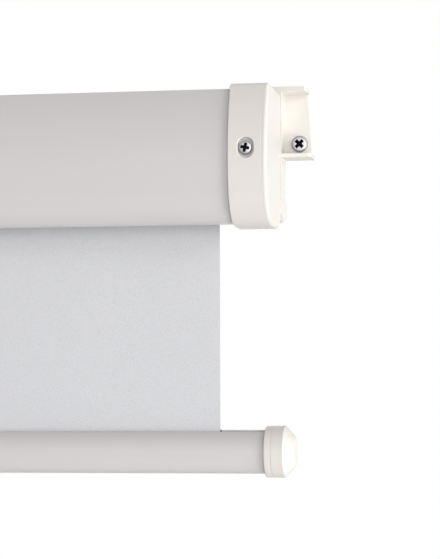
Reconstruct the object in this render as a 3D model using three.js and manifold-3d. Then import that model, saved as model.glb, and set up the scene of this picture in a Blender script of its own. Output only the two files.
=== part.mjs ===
// Pull-down projection screen for a wall, in millimetres, +Z up.
// +X runs along the casing, +Y goes into the wall, and the origin is the middle of the wall plane
// at the height of the wall screws. A depth is counted from the wall towards the viewer.
// Each end is built as the right-hand one, with +X pointing outwards, and the left one is its mirror image.
import * as THREE from "three";
import { mergeVertices } from "three/addons/utils/BufferGeometryUtils.js";
import Module from "manifold-3d";

// Fits
const seatGap = 0.3; // between pieces that plug or rest on each other
const runningGap = 0.15; // radial, between a shaft and what turns on it
const cutOverrun = 6; // how far a cutting solid reaches past the face it cuts
const weldDistance = 0.0001; // corners closer than this are one corner

// Screen fabric
const fabricWidth = 1250;
const fabricThickness = 0.3;
const fabricDepth = 26; // from the wall to the hanging fabric
const fabricToCap = 12.3; // from the fabric's edge to the end cap
const fabricTuck = 2.2; // how far the fabric goes into the bar

// End cap, outside
const capWidth = 22.7;
const capTop = 28.3;
const capBottom = -52.8;
const frontRadius = 93;
const bulgeHeight = -13; // height where the front stands furthest out
const topCornerRadius = 3;
const bottomCornerRadius = 24;
const backCornerRadius = 10.5;
const capEdgeRadius = 1.9; // rounding towards the cap's outer side
const capRimRadius = 0.5; // rounding towards the casing

// End cap, inside
const capSideWall = 2.5;
const capDeepWall = 3.4; // wall past the casing's end
const casingInset = 2.5; // from the cap's outer face to the casing's
const casingSeat = 6.3; // how far the casing goes into the cap
const backOpeningLow = -39; // lower edge of the cap's opening towards the wall
const ribThickness = 1.5;
const ribFrontMargin = 9; // from the cap's front to the ends of the ribs
const ribHeights = [14, -34];

// Screw in the cap's front
const capScrewHeight = -10;
const capScrewOutward = 10.1; // from the cap's inner edge
const capScrewHeadRadius = 4;
const capScrewHeadHeight = 2.6;
const capScrewShankRadius = 1.95;
const capScrewLength = 14;
const screwRecessRoom = 0.65; // round the screw's head
const screwRecessStretch = 2.7; // how much taller than wide the recess is
const screwRecessDepth = 3.1;
const screwRecessChamfer = 0.7;
const screwFloor = 2; // wall left under the screw's head
const screwBossWall = 1.6;

// Casing, a section open at the bottom
const casingWall = 1.3;
const casingSetback = 0.6; // from the cap's back to the casing's
const fabricToRearLip = 4.4; // room behind the fabric where it leaves the casing
const casingBackRadius = 4;
const casingToRoll = 1.782; // clearance in front of the wound fabric
const fabricToLip = 11; // room in front of the fabric where it leaves the casing
const lipRadius = 1.5;
const rearLipHeight = -42;
const rearLipReturn = 3;

// Wall bracket
const bracketTop = 32.6;
const bracketBottom = -46.7;
const bracketGap = 0.3; // between the bracket's rim and the cap
const plateThickness = 2.5;
const bracketWall = 2.4;
const topFlange = 3;
const bracketCorner = 4;
const bracketFootRadius = 5; // rounding of the rim's foot, beside the cap
const skirtHeight = -33; // below this the outer wall stands a little further out
const skirtStep = 0.7;
const skirtRun = 2; // height over which the step is made
const bracketOutward = 0.5; // from the cap's side to the bracket's
const wingTopWidth = 15.5;
const wingBottomWidth = 18.1;
const wingBottom = -9.5;
const wingFlange = 2.2;
const wingCorner = 1.5;
const wingEdge = 1.2; // slope along the edge of the wing's plate
const crossbarTops = [11, -24];
const crossbarHeight = 3.2;
const crossbarSetback = 7; // from the cap's back to the bars that the roller plates hook on
const crossbarLength = 3.4;

// Wall screw
const wallScrewOutward = 9.5; // from the bracket's side
const wallScrewHeadRadius = 5;
const wallScrewHeadHeight = 2.9;
const wallScrewShankRadius = 2.4;
const wallScrewLength = 30;
const wallScrewPoint = 5;

// Phillips recess
const crossArmShare = 0.6; // half span of the cross, as a share of the head's radius
const crossWidthShare = 0.24;
const crossDepthShare = 0.62; // depth, as a share of the head's height

// Pan heads
const headShares = [[1, 0.35], [0.86, 0.72], [0.58, 0.95]]; // corners, as shares of radius and height
const pointShare = 0.25; // radius of the shank's blunt point

// Roller plates inside the caps
const carrierThickness = 3;
const hubRadius = 9;
const hubLength = 11.7;
const screwBossRadius = 3.7;
const screwBossLength = 15;
const hookThickness = 4.5;
const hookHeight = 4.2;
const hookLip = 2.6;
const windowCount = 4;
const windowRadius = 6;
const windowOffset = 19;
const windowDepthShare = 0.75; // the windows lie on an oval, narrower in depth

// Roller
const tubeRadius = 16;
const tubeWall = 1.2;
const tubePastFabric = 6;
const rollBuild = 3.634; // from the tube to the middle of the fabric's outermost turn
const lockTeeth = 12;
const shaftRadius = 4;
const plugFlange = 1.5;
const plugLength = 25;
const plugCupDepth = 8.5;
const plugCupWall = 1.6;
const plugWeb = 4;
const spigotRadius = 7.2;
const spigotLength = 12;

// Lock
const wheelTipRadius = 6.5;
const wheelRootRadius = 5.5;
const wheelThickness = 3.5;
const wheelToWeb = 0.8;
const toothRampShare = 0.98; // of a tooth's pitch, the rest is its steep face
const pawlPivotRadius = 10;
const pawlThickness = 3;
const pawlEyeRadius = 2.2;
const pawlPinRadius = 1.1;
const pawlArmWidth = 2.2;
const pawlNoseWidth = 1;
const pawlNoseRadius = 6; // where the nose lies when it is in a notch
const pawlElbowRadius = 8;
const pawlElbowRise = 0.6;
const pawlLead = 50; // degrees the nose lies ahead of the pivot when engaged
const pawlParked = 14; // degrees the pawl is lifted at rest
const notchSlack = 8; // degrees between an engaged nose and the tooth it holds
const coverThickness = 1.4;

// Spring and its fittings
const springTurns = 20;
const springWire = 0.9;
const springCoil = 9.2;
const springPitch = 7;
const arborLength = 14;
const supportLength = 12;
const tangThickness = 3.2;
const tangWidth = 7;
const tangPastPlate = 3.6;

// Idler side
const idlerPinGrip = 14; // length of the pin inside its plug
const bushWall = 2;
const bushFlangeRadius = 7.6;
const bushFlangeLength = 1.5;

// Bottom bar
const barRadius = 12.9;
const barWall = 1.2;
const barBelowLip = 132.2; // from the casing's lower edge to the bar's axis
const barInCap = 11; // how far the tube goes into its end cap
const slitWidth = 2.6;
const slitForward = 4.9; // from the bar's axis to the slit's middle
const channelRadius = 3;
const channelWall = 1;
const channelTopWall = 2;
const splineRadius = 2.5;
const splineWeb = 1.1;
const splineProud = 0.8; // how far its web stands out of the slit
const splinePastFabric = 1;
const barCapInnerEdge = -7.9; // from the casing cap's outer side to the bar cap's inner edge
const barCapSleeve = 4.4;
const barCapRing = 7.5;
const barCapCone = 6;
const barCapWall = 2.3; // from the tube to the cap's outside
const barCapStep = 0.2;
const barCapTaper = 7.4; // how much narrower the tip's radius is
const barCapEdge = 0.8;
const barCapGrooveWidth = 0.4;
const barCapGrooveDepth = 0.35;

// Pull handle
const saddleLength = 124;
const saddleThickness = 2.6;
const saddleAngle = 96; // degrees of the tube that the saddle wraps
const handleTopWidth = 96;
const handleBottomWidth = 78;
const handleDrop = 36; // from the tube's lowest line to the grip's underside
const handleThickness = 13;
const handleBand = 7.5;
const handleOuterCorner = 12;
const handleInnerCorner = 6;
const handleBevel = 1.2;
const handleRoof = 6.6; // from the tube's lowest line to the top of the finger opening
const handleScrewInset = 7;
const handleScrewRadius = 1.4;
const handleScrewHeadRadius = 2.8;
const handleScrewHeadHeight = 1.8;
const handleScrewLength = 9;
const handleHeadShare = 0.6; // flat of the head, as a share of its radius
const handlePointShare = 0.8; // where the point starts, as a share of the length

// Steps round curved forms
const roundSteps = 40;
const capSteps = 32;
const plugSteps = 28;
const smallSteps = 20;
const screwSteps = 16;
const pinSteps = 12;
const cornerSteps = 6;
const topSteps = 4;
const bottomSteps = 10;
const frontSteps = 10;
const rampSteps = 3;
const edgeSteps = 4;
const rimSteps = 2;
const wireSides = 5;
const wireSteps = 8;

// Places worked out from the sizes above
const capInner = fabricWidth / 2 + fabricToCap;
const capOuter = capInner + capWidth;
const casingEnd = capInner + casingSeat;
const casingBottom = capBottom + casingInset;
const casingBack = fabricDepth - fabricToRearLip - rearLipReturn;
const capBack = casingBack - casingSetback;
const crossbarDepth = capBack - crossbarSetback;
const lipDepth = fabricDepth + fabricToLip;
const carrierBack = capBack + capDeepWall + seatGap;
const carrierMiddle = capInner + capScrewOutward;
const screwRecessRadius = capScrewHeadRadius + screwRecessRoom;
const screwRecessMiddle = carrierMiddle + screwRecessRoom - runningGap;
const carrierInner = carrierMiddle - carrierThickness / 2;
const carrierOuter = carrierMiddle + carrierThickness / 2;
const hubInner = carrierInner - hubLength;
const tubeEnd = fabricWidth / 2 + tubePastFabric;
const runningRadius = tubeRadius + rollBuild;
const rollRadius = runningRadius + fabricThickness / 2;
const rollerDepth = fabricDepth + runningRadius;
const capFront = rollerDepth + rollRadius + casingToRoll + casingWall + casingInset;
const rollerHeight = (capTop + capBottom) / 2;
const barHeight = casingBottom - barBelowLip;
const barDepth = fabricDepth - slitForward;
const barEnd = capOuter + barCapInnerEdge + barInCap;
const barCapRadius = barRadius + barCapWall;
const degree = Math.PI / 180;
const toothPitch = 360 / lockTeeth;

const wasm = await Module();
wasm.setup();

// Materials
function finish(name, color, roughness, metalness = 0) {
  return new THREE.MeshStandardMaterial({ name, color, roughness, metalness });
}
const finishes = {
  casing: finish("grey_painted_aluminium", 0xd2d0cf, 0.38),
  moulding: finish("ivory_moulded_plastic", 0xf3f0ea, 0.45),
  fabric: finish("matte_white_fabric", 0xdfdfe4, 0.95),
  screw: finish("zinc_plated_steel", 0xb4b6ba, 0.35, 0.9),
  steel: finish("plain_steel", 0x8f9196, 0.4, 0.9),
  tube: finish("galvanised_tube", 0xa9adb1, 0.45, 0.8),
  nylon: finish("natural_nylon", 0xe9e6dc, 0.5),
  spline: finish("dark_spline", 0x2a2a2c, 0.6),
};

// Booleans
function solidOf(geometry) {
  const bare = new THREE.BufferGeometry();
  const source = geometry.index ? geometry.toNonIndexed() : geometry;
  bare.setAttribute("position", source.getAttribute("position").clone());
  const merged = mergeVertices(bare, weldDistance);
  const corners = merged.index.array;
  const kept = [];
  for (let i = 0; i < corners.length; i += 3) {
    const [a, b, c] = corners.slice(i, i + 3);
    if (a !== b && b !== c && c !== a) kept.push(a, b, c);
  }
  return new wasm.Manifold(
    new wasm.Mesh({
      numProp: 3,
      vertProperties: merged.getAttribute("position").array,
      triVerts: new Uint32Array(kept),
    }),
  );
}

function geometryOf(solid) {
  const mesh = solid.getMesh();
  const positions = new Float32Array(mesh.numVert * 3);
  for (let i = 0; i < mesh.numVert; i++) {
    const start = i * mesh.numProp;
    positions.set(mesh.vertProperties.subarray(start, start + 3), i * 3);
  }
  const geometry = new THREE.BufferGeometry();
  geometry.setAttribute("position", new THREE.BufferAttribute(positions, 3));
  geometry.setIndex(new THREE.BufferAttribute(new Uint32Array(mesh.triVerts), 1));
  return geometry;
}

function join(...geometries) {
  return geometryOf(geometries.map(solidOf).reduce((whole, next) => whole.add(next)));
}

function cut(body, ...tools) {
  return geometryOf(tools.map(solidOf).reduce((whole, tool) => whole.subtract(tool), solidOf(body)));
}

function common(first, second) {
  return geometryOf(solidOf(first).intersect(solidOf(second)));
}

// Shapes in the section plane are drawn as (depth, height). They run along X.
const sectionToWorld = new THREE.Matrix4().makeBasis(
  new THREE.Vector3(0, -1, 0),
  new THREE.Vector3(0, 0, 1),
  new THREE.Vector3(-1, 0, 0),
);

function extrudeAlongX(shape, fromX, toX) {
  const geometry = new THREE.ExtrudeGeometry(shape, {
    depth: toX - fromX,
    bevelEnabled: false,
    curveSegments: cornerSteps * 2,
  });
  return geometry.applyMatrix4(sectionToWorld).translate(toX, 0, 0);
}

// Shapes in the front plane are drawn as (x, height). They run from one depth to another.
function extrudeToDepth(shape, fromDepth, toDepth, bevel = 0) {
  const geometry = new THREE.ExtrudeGeometry(shape, {
    depth: toDepth - fromDepth - bevel * 2,
    bevelEnabled: bevel > 0,
    bevelSize: bevel,
    bevelThickness: bevel,
    bevelOffset: -bevel,
    bevelSegments: 2,
    curveSegments: cornerSteps,
  });
  return geometry.rotateX(Math.PI / 2).translate(0, -fromDepth - bevel, 0);
}

function block(x0, x1, depth0, depth1, z0, z1) {
  return new THREE.BoxGeometry(x1 - x0, depth1 - depth0, z1 - z0).translate(
    (x0 + x1) / 2,
    -(depth0 + depth1) / 2,
    (z0 + z1) / 2,
  );
}

// A profile of [radius, x] corners turned round a line along X at a depth and height.
const turnToX = new THREE.Matrix4().makeBasis(
  new THREE.Vector3(0, 0, 1),
  new THREE.Vector3(1, 0, 0),
  new THREE.Vector3(0, 1, 0),
);

function turned(profile, steps) {
  return new THREE.LatheGeometry(profile.map(([radius, along]) => new THREE.Vector2(radius, along)), steps);
}

function turnedOnX(profile, depth, height, steps = roundSteps) {
  return turned(profile, steps).applyMatrix4(turnToX).translate(0, -depth, height);
}

function rod(radius, x0, x1, depth, height, steps = roundSteps) {
  return turnedOnX([[0, x0], [radius, x0], [radius, x1], [0, x1]], depth, height, steps);
}

function ring(outer, inner, x0, x1, depth, height, steps = roundSteps) {
  const profile = [[inner, x0], [outer, x0], [outer, x1], [inner, x1], [inner, x0]];
  return turnedOnX(profile, depth, height, steps);
}

// A profile of [radius, depth] corners turned round a line square to the wall.
function turnedOnDepth(profile, x, height, steps = smallSteps) {
  return turned(profile, steps).rotateX(Math.PI).translate(x, 0, height);
}

// Points of an arc in the section plane, both ends included.
function arc(depth, height, radius, from, to, steps) {
  return Array.from({ length: steps + 1 }, (_, i) => {
    const angle = from + ((to - from) * i) / steps;
    return [depth + radius * Math.cos(angle), height + radius * Math.sin(angle)];
  });
}

function shapeOf(points, ...holes) {
  const shape = new THREE.Shape(points.map(([a, b]) => new THREE.Vector2(a, b)));
  for (const hole of holes) shape.holes.push(new THREE.Path(hole.map(([a, b]) => new THREE.Vector2(a, b))));
  return shape;
}

// The housing's outline, a bulging front between two round corners, drawn in from the cap's by an inset.
// The corners keep their centres, so that outlines of two insets stay the same distance apart all round.
const frontCentre = capFront - frontRadius;

function frontCorner(height, cornerRadius) {
  const reach = frontRadius - cornerRadius;
  const rise = height - bulgeHeight;
  const depth = frontCentre + Math.sqrt(reach * reach - rise * rise);
  return { depth, height, angle: Math.atan2(rise, depth - frontCentre) };
}

const topCorner = frontCorner(capTop - topCornerRadius, topCornerRadius);
const bottomCorner = frontCorner(capBottom + bottomCornerRadius, bottomCornerRadius);

// From the bottom line, round the front, to the top line.
function frontLine(inset) {
  const low = bottomCorner;
  const high = topCorner;
  const lowRadius = bottomCornerRadius - inset;
  const highRadius = Math.max(topCornerRadius - inset, runningGap);
  const highDrop = highRadius - (topCornerRadius - inset); // where the inset is more than the corner's radius
  return [
    ...arc(low.depth, low.height, lowRadius, -Math.PI / 2, low.angle, bottomSteps),
    ...arc(frontCentre, bulgeHeight, frontRadius - inset, low.angle, high.angle, frontSteps).slice(1, -1),
    ...arc(high.depth - highDrop, high.height - highDrop, highRadius, high.angle, Math.PI / 2, topSteps),
  ];
}

// The whole outline, with its back in a plane of its own and a round corner below.
function housingOutline(inset, back) {
  const cornerRadius = backCornerRadius - inset;
  const cornerDepth = back + cornerRadius;
  const cornerHeight = capBottom + backCornerRadius;
  return [
    ...frontLine(inset),
    [back, capTop - inset],
    ...arc(cornerDepth, cornerHeight, cornerRadius, Math.PI, Math.PI * 1.5, cornerSteps),
  ];
}

// A skin over outlines of the same number of points, each at its own x, from the largest x down.
function loft(rings) {
  const corners = [];
  const place = ({ x, outline }, i) => [...outline[i % outline.length], -x];
  const count = rings[0].outline.length;
  for (let k = 0; k + 1 < rings.length; k++) {
    for (let i = 0; i < count; i++) {
      const a = place(rings[k], i);
      const b = place(rings[k], i + 1);
      const c = place(rings[k + 1], i + 1);
      const d = place(rings[k + 1], i);
      corners.push(...a, ...b, ...c, ...a, ...c, ...d);
    }
  }
  for (const [end, order] of [[rings[0], [2, 1, 0]], [rings[rings.length - 1], [0, 1, 2]]]) {
    const flat = end.outline.map(([a, b]) => new THREE.Vector2(a, b));
    for (const face of THREE.ShapeUtils.triangulateShape(flat, [])) {
      for (const pick of order) corners.push(...place(end, face[pick]));
    }
  }
  const geometry = new THREE.BufferGeometry();
  geometry.setAttribute("position", new THREE.Float32BufferAttribute(corners, 3));
  return geometry.applyMatrix4(sectionToWorld);
}

// Insets and places along X of a quarter-round edge that ends on the outer face.
function roundEdge(radius, faceX, direction, steps) {
  return Array.from({ length: steps + 1 }, (_, i) => {
    const angle = (i / steps) * (Math.PI / 2);
    return { inset: radius * (1 - Math.cos(angle)), x: faceX - direction * radius * (1 - Math.sin(angle)) };
  });
}

// The casing: one wall that follows the housing's outline from the front lip over the top to the rear lip.
function casingGeometry() {
  const lipHeight = casingBottom + lipRadius;
  const skin = (inset, back, radius) => [
    ...frontLine(inset),
    ...arc(back + radius, capTop - inset - radius, radius, Math.PI / 2, Math.PI, cornerSteps),
  ];
  const outer = skin(casingInset, casingBack, casingBackRadius);
  const inner = skin(casingInset + casingWall, casingBack + casingWall, casingBackRadius - casingWall);
  const rearFoot = [
    [casingBack, rearLipHeight],
    [casingBack + rearLipReturn, rearLipHeight],
    [casingBack + rearLipReturn, rearLipHeight + casingWall],
    [casingBack + casingWall, rearLipHeight + casingWall],
  ];
  const bead = arc(lipDepth + lipRadius, lipHeight, lipRadius, Math.PI * 0.5, Math.PI * 1.5, cornerSteps);
  const beadInner = [bead[0][0] + lipRadius, casingBottom + casingWall];
  const outline = [...outer, ...rearFoot, ...inner.reverse(), beadInner, ...bead];
  const notch = solidOf(screwBossRoom());
  const notches = [notch, notch.mirror([1, 0, 0])].map(geometryOf);
  return cut(extrudeAlongX(shapeOf(outline), -casingEnd, casingEnd), ...notches);
}

// A slot round the cap screw, with round ends above and below it.
function uprightSlot(radius, back, front, frontRadius = radius) {
  const profile = [[0, back], [radius, back], [frontRadius, front], [0, front]];
  const ends = [-1, 1].map((side) => {
    const height = capScrewHeight + (side * screwRecessStretch) / 2;
    return solidOf(turnedOnDepth(profile, screwRecessMiddle, height));
  });
  return geometryOf(wasm.Manifold.hull(ends));
}

// Room for the boss behind the cap's front screw.
function screwBossRoom() {
  const back = capFront - screwRecessDepth - screwFloor - seatGap;
  return uprightSlot(screwRecessRadius + screwBossWall + seatGap, back, capFront);
}

// The end cap: a moulding closed at its side, open towards the casing and the wall.
function endCapGeometry() {
  const outlines = [
    ...roundEdge(capEdgeRadius, capOuter, 1, edgeSteps).reverse(),
    ...roundEdge(capRimRadius, capInner, -1, rimSteps),
  ];
  const shell = loft(outlines.map(({ inset, x }) => ({ x, outline: housingOutline(inset, capBack) })));
  const seat = housingOutline(casingInset - seatGap, capBack);
  const seatPocket = extrudeAlongX(shapeOf(seat), capInner - cutOverrun, casingEnd + seatGap);
  const deep = housingOutline(capDeepWall, capBack + capDeepWall);
  const deepPocket = extrudeAlongX(shapeOf(deep), capInner - cutOverrun, capOuter - capSideWall);
  const backOpening = block(
    capInner - cutOverrun,
    capOuter - capSideWall,
    capBack - cutOverrun,
    bottomCorner.depth,
    backOpeningLow,
    capTop - capDeepWall,
  );
  const recessFloor = capFront - screwRecessDepth;
  const bossRadius = screwRecessRadius + screwBossWall;
  const boss = uprightSlot(bossRadius, recessFloor - screwFloor, capFront - casingInset);
  const recess = uprightSlot(screwRecessRadius, recessFloor, capFront);
  const mouth = uprightSlot(
    screwRecessRadius,
    capFront - screwRecessChamfer,
    capFront + cutOverrun,
    screwRecessRadius + screwRecessChamfer + cutOverrun,
  );
  const screwRadius = capScrewShankRadius + runningGap;
  const hole = turnedOnDepth(
    [
      [0, capBack],
      [screwRadius, capBack],
      [screwRadius, capFront],
      [0, capFront],
    ],
    carrierMiddle,
    capScrewHeight,
  );
  const ribs = ribHeights.map((height) =>
    block(
      carrierOuter + seatGap,
      capOuter - capSideWall / 2,
      capBack + capDeepWall,
      capFront - ribFrontMargin,
      height - ribThickness / 2,
      height + ribThickness / 2,
    ),
  );
  const hollow = cut(shell, seatPocket, deepPocket, backOpening);
  const bosses = common(join(boss, ...ribs), shell);
  return cut(join(hollow, bosses), recess, mouth, hole);
}

// A pan-head screw on a line square to the wall, with its head seated at a depth and its shank behind.
function panScrew(head, headHeight, shank, length, point, seatDepth) {
  const profile = [
    [0, seatDepth - length],
    [shank * pointShare, seatDepth - length],
    [shank, seatDepth - length + point],
    [shank, seatDepth],
    [head, seatDepth],
    ...headShares.map(([out, up]) => [head * out, seatDepth + headHeight * up]),
    [0, seatDepth + headHeight],
  ];
  const reach = head * crossArmShare;
  const width = head * crossWidthShare;
  const floor = seatDepth + headHeight * (1 - crossDepthShare);
  const arm = block(-reach, reach, floor, seatDepth + headHeight + cutOverrun, -width / 2, width / 2);
  const arms = [1, -1].map((turn) => arm.clone().rotateY((turn * Math.PI) / 4));
  return cut(turnedOnDepth(profile, 0, 0, screwSteps), ...arms);
}

// The wall bracket: a tray behind the cap, with a wing beside it for the wall screw.
function bracketGeometry() {
  const front = capBack - bracketGap;
  const wingTop = capOuter + wingTopWidth;
  const wingFoot = capOuter + wingBottomWidth;
  const bracketSide = capOuter + bracketOutward;
  const skirt = bracketSide + skirtStep;
  const outline = [
    [capInner, bracketTop],
    [capInner, bracketBottom],
    ...arc(
      skirt - bracketCorner,
      bracketBottom + bracketCorner,
      bracketCorner,
      -Math.PI / 2,
      0,
      cornerSteps,
    ),
    [skirt, skirtHeight - skirtRun],
    [bracketSide, skirtHeight],
    [bracketSide, wingBottom],
    [wingFoot, wingBottom],
    ...arc(wingTop - wingCorner, bracketTop - wingCorner, wingCorner, 0, Math.PI / 2, cornerSteps),
  ];
  const blank = extrudeToDepth(shapeOf(outline), 0, front);
  const tray = block(
    capInner + bracketWall,
    bracketSide - bracketWall,
    plateThickness,
    front + cutOverrun,
    bracketBottom + bracketWall,
    bracketTop - topFlange,
  );
  const wingFloor = wingBottom + wingFlange;
  const wingRoof = bracketTop - topFlange;
  const plateEdgeDepth = plateThickness - wingEdge;
  const wing = block(
    bracketSide,
    wingFoot + cutOverrun,
    plateEdgeDepth,
    front + cutOverrun,
    wingFloor,
    wingRoof,
  );
  const slope = (wingFoot - wingTop) / (bracketTop - wingBottom);
  const edgeAt = (height) => wingTop + (bracketTop - height) * slope;
  const plateLayers = [[0, plateEdgeDepth], [wingEdge, plateThickness]].map(([inset, depth]) => {
    const corners = [
      [bracketSide - bracketWall, wingFloor],
      [edgeAt(wingFloor) - inset, wingFloor],
      [edgeAt(wingRoof) - inset, wingRoof],
      [bracketSide - bracketWall, wingRoof],
    ];
    return solidOf(extrudeToDepth(shapeOf(corners), 0, depth));
  });
  const wingPlate = geometryOf(wasm.Manifold.hull(plateLayers));
  const screwHole = turnedOnDepth(
    [
      [0, -cutOverrun],
      [wallScrewShankRadius + seatGap, -cutOverrun],
      [wallScrewShankRadius + seatGap, front],
      [0, front],
    ],
    capOuter + wallScrewOutward,
    0,
  );
  const frontCorners = [[wingTop, bracketTop], [wingFoot, wingFloor]].map(([edge, top]) => {
    const centreX = edge - wingCorner;
    const centreDepth = front - wingCorner;
    const points = [
      [centreX, front],
      ...arc(centreX, centreDepth, wingCorner, Math.PI / 2, 0, cornerSteps),
      [edge + cutOverrun, centreDepth],
      [edge + cutOverrun, front + cutOverrun],
      [centreX, front + cutOverrun],
    ];
    const tall = topFlange * 2;
    const shape = shapeOf(points.slice().reverse().map(([x, depth]) => [x, -depth]));
    const tool = new THREE.ExtrudeGeometry(shape, { depth: tall, bevelEnabled: false });
    return tool.translate(0, 0, top - tall + weldDistance);
  });
  const crossbars = crossbarTops.map((top) =>
    block(
      capInner + bracketWall / 2,
      bracketSide - bracketWall / 2,
      crossbarDepth,
      crossbarDepth + crossbarLength,
      top - crossbarHeight,
      top,
    ),
  );
  const centreDepth = front - bracketFootRadius;
  const centreHeight = bracketBottom + bracketFootRadius;
  const footRound = extrudeAlongX(
    shapeOf([
      ...arc(centreDepth, centreHeight, bracketFootRadius, -Math.PI / 2, 0, cornerSteps),
      [front + cutOverrun, centreHeight],
      [front + cutOverrun, bracketBottom - cutOverrun],
      [centreDepth, bracketBottom - cutOverrun],
    ]),
    capInner - cutOverrun,
    capOuter + cutOverrun,
  );
  const body = join(cut(blank, tray, wing), wingPlate);
  return join(cut(body, screwHole, footRound, ...frontCorners), ...crossbars);
}

// The roller plate: it closes the casing's end inside the cap, carries the roller, takes the cap's screw
// in a boss and hooks over the bracket's crossbars.
function rollerPlateGeometry(hubBore) {
  const inset = capDeepWall + seatGap;
  const plate = extrudeAlongX(shapeOf(housingOutline(inset, carrierBack)), carrierInner, carrierOuter);
  const hub = rod(hubRadius, hubInner, carrierOuter, rollerDepth, rollerHeight, smallSteps);
  const bossFront = capFront - screwRecessDepth - screwFloor - seatGap;
  const screwAxis = [carrierMiddle, capScrewHeight];
  const boss = turnedOnDepth(
    [
      [0, bossFront - screwBossLength],
      [screwBossRadius, bossFront - screwBossLength],
      [screwBossRadius, bossFront],
      [0, bossFront],
    ],
    ...screwAxis,
  );
  const screwHole = turnedOnDepth(
    [
      [0, bossFront - screwBossLength - cutOverrun],
      [capScrewShankRadius + runningGap, bossFront - screwBossLength - cutOverrun],
      [capScrewShankRadius + runningGap, bossFront + cutOverrun],
      [0, bossFront + cutOverrun],
    ],
    ...screwAxis,
  );
  const windows = Array.from({ length: windowCount }, (_, i) => {
    const angle = ((i + 0.5) / windowCount) * Math.PI * 2;
    return rod(
      windowRadius,
      carrierInner - cutOverrun,
      carrierOuter + cutOverrun,
      rollerDepth + windowOffset * Math.cos(angle) * windowDepthShare,
      rollerHeight + windowOffset * Math.sin(angle),
      screwSteps,
    );
  });
  const hooks = crossbarTops.map((top) => {
    const low = top + seatGap;
    const lipFront = crossbarDepth - seatGap;
    const points = [
      [carrierBack + ribThickness, low],
      [carrierBack + ribThickness, low + hookHeight],
      [lipFront - hookThickness, low + hookHeight],
      [lipFront - hookThickness, top - hookLip],
      [lipFront, top - hookLip],
      [lipFront, low],
    ];
    return extrudeAlongX(shapeOf(points), carrierInner, carrierOuter);
  });
  const drilled = cut(plate, screwBossRoom(), ...windows);
  return cut(join(drilled, hub, boss, ...hooks), hubBore, screwHole);
}

// Lock side: the fixed spindle with its flat tang, drawn outwards to +X as all of this end is.
const webOuter = tubeEnd + plugFlange - plugCupDepth;
const webInner = webOuter - plugWeb;
const springStart = webInner - seatGap - springWire;
const springEnd = springStart - springTurns * springPitch;
const arborInner = springEnd - arborLength / 2;
const supportOuter = arborInner - seatGap;
const spindleInner = supportOuter - supportLength;

function tangBlock(gap, outward) {
  return block(
    hubInner - outward,
    carrierOuter + tangPastPlate + outward,
    rollerDepth - tangWidth / 2 - gap,
    rollerDepth + tangWidth / 2 + gap,
    rollerHeight - tangThickness / 2 - gap,
    rollerHeight + tangThickness / 2 + gap,
  );
}

function spindleGeometry() {
  const shaft = rod(shaftRadius, spindleInner, hubInner - seatGap, rollerDepth, rollerHeight, smallSteps);
  return join(shaft, tangBlock(0, seatGap * 2));
}

function ratchetWheelGeometry() {
  const step = toothPitch * degree;
  const noseAngle = Math.PI / 2 + pawlLead * degree;
  const firstTooth = noseAngle + notchSlack * degree;
  const outline = [];
  for (let tooth = 0; tooth < lockTeeth; tooth++) {
    const start = firstTooth + tooth * step;
    for (let i = 0; i <= rampSteps; i++) {
      const share = i / rampSteps;
      const radius = wheelTipRadius + (wheelRootRadius - wheelTipRadius) * share;
      const angle = start + step * share * toothRampShare;
      outline.push([rollerDepth - radius * Math.cos(angle), rollerHeight + radius * Math.sin(angle)]);
    }
  }
  const bore = arc(rollerDepth, rollerHeight, shaftRadius + runningGap, 0, Math.PI * 2, smallSteps).slice(1);
  const wheelInner = webOuter + wheelToWeb;
  return extrudeAlongX(shapeOf(outline, bore), wheelInner, wheelInner + wheelThickness);
}

// A pawl, drawn engaged about the roller's axis with its pivot straight up, then lifted about its pivot.
function pawlGeometry() {
  const turnBack = (pawlLead - 90) * degree;
  const nose = [-pawlNoseRadius, 0];
  const elbow = [-pawlElbowRadius, pawlElbowRise];
  const pivotAngle = (180 - pawlLead) * degree;
  const pivot = [pawlPivotRadius * Math.cos(pivotAngle), pawlPivotRadius * Math.sin(pivotAngle)];
  const half = pawlArmWidth / 2;
  const along = Math.atan2(pivot[1] - elbow[1], pivot[0] - elbow[0]);
  const side = [Math.cos(along + Math.PI / 2) * half, Math.sin(along + Math.PI / 2) * half];
  const points = [
    [nose[0], nose[1] - pawlNoseWidth / 2],
    [nose[0], nose[1] + pawlNoseWidth / 2],
    [elbow[0] - side[0], elbow[1] - side[1] + half],
    [pivot[0] - side[0], pivot[1] - side[1]],
    [pivot[0] + side[0], pivot[1] + side[1]],
    [elbow[0] + side[0], elbow[1] + side[1]],
    [elbow[0], elbow[1] - half],
  ];
  const pawlInner = webOuter + wheelToWeb;
  const pawlOuter = pawlInner + pawlThickness;
  const toSection = ([a, b]) => [-a, b];
  const arm = extrudeAlongX(shapeOf(points.map(toSection)), pawlInner, pawlOuter);
  const eye = rod(pawlEyeRadius, pawlInner, pawlOuter, -pivot[0], pivot[1], screwSteps);
  const hole = rod(
    pawlPinRadius + runningGap,
    pawlInner - cutOverrun,
    pawlOuter + cutOverrun,
    -pivot[0],
    pivot[1],
    pinSteps,
  );
  const pawl = cut(join(arm, eye), hole);
  pawl.rotateX(turnBack);
  pawl.translate(0, 0, -pawlPivotRadius);
  pawl.rotateX(-pawlParked * degree);
  return pawl;
}

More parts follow.
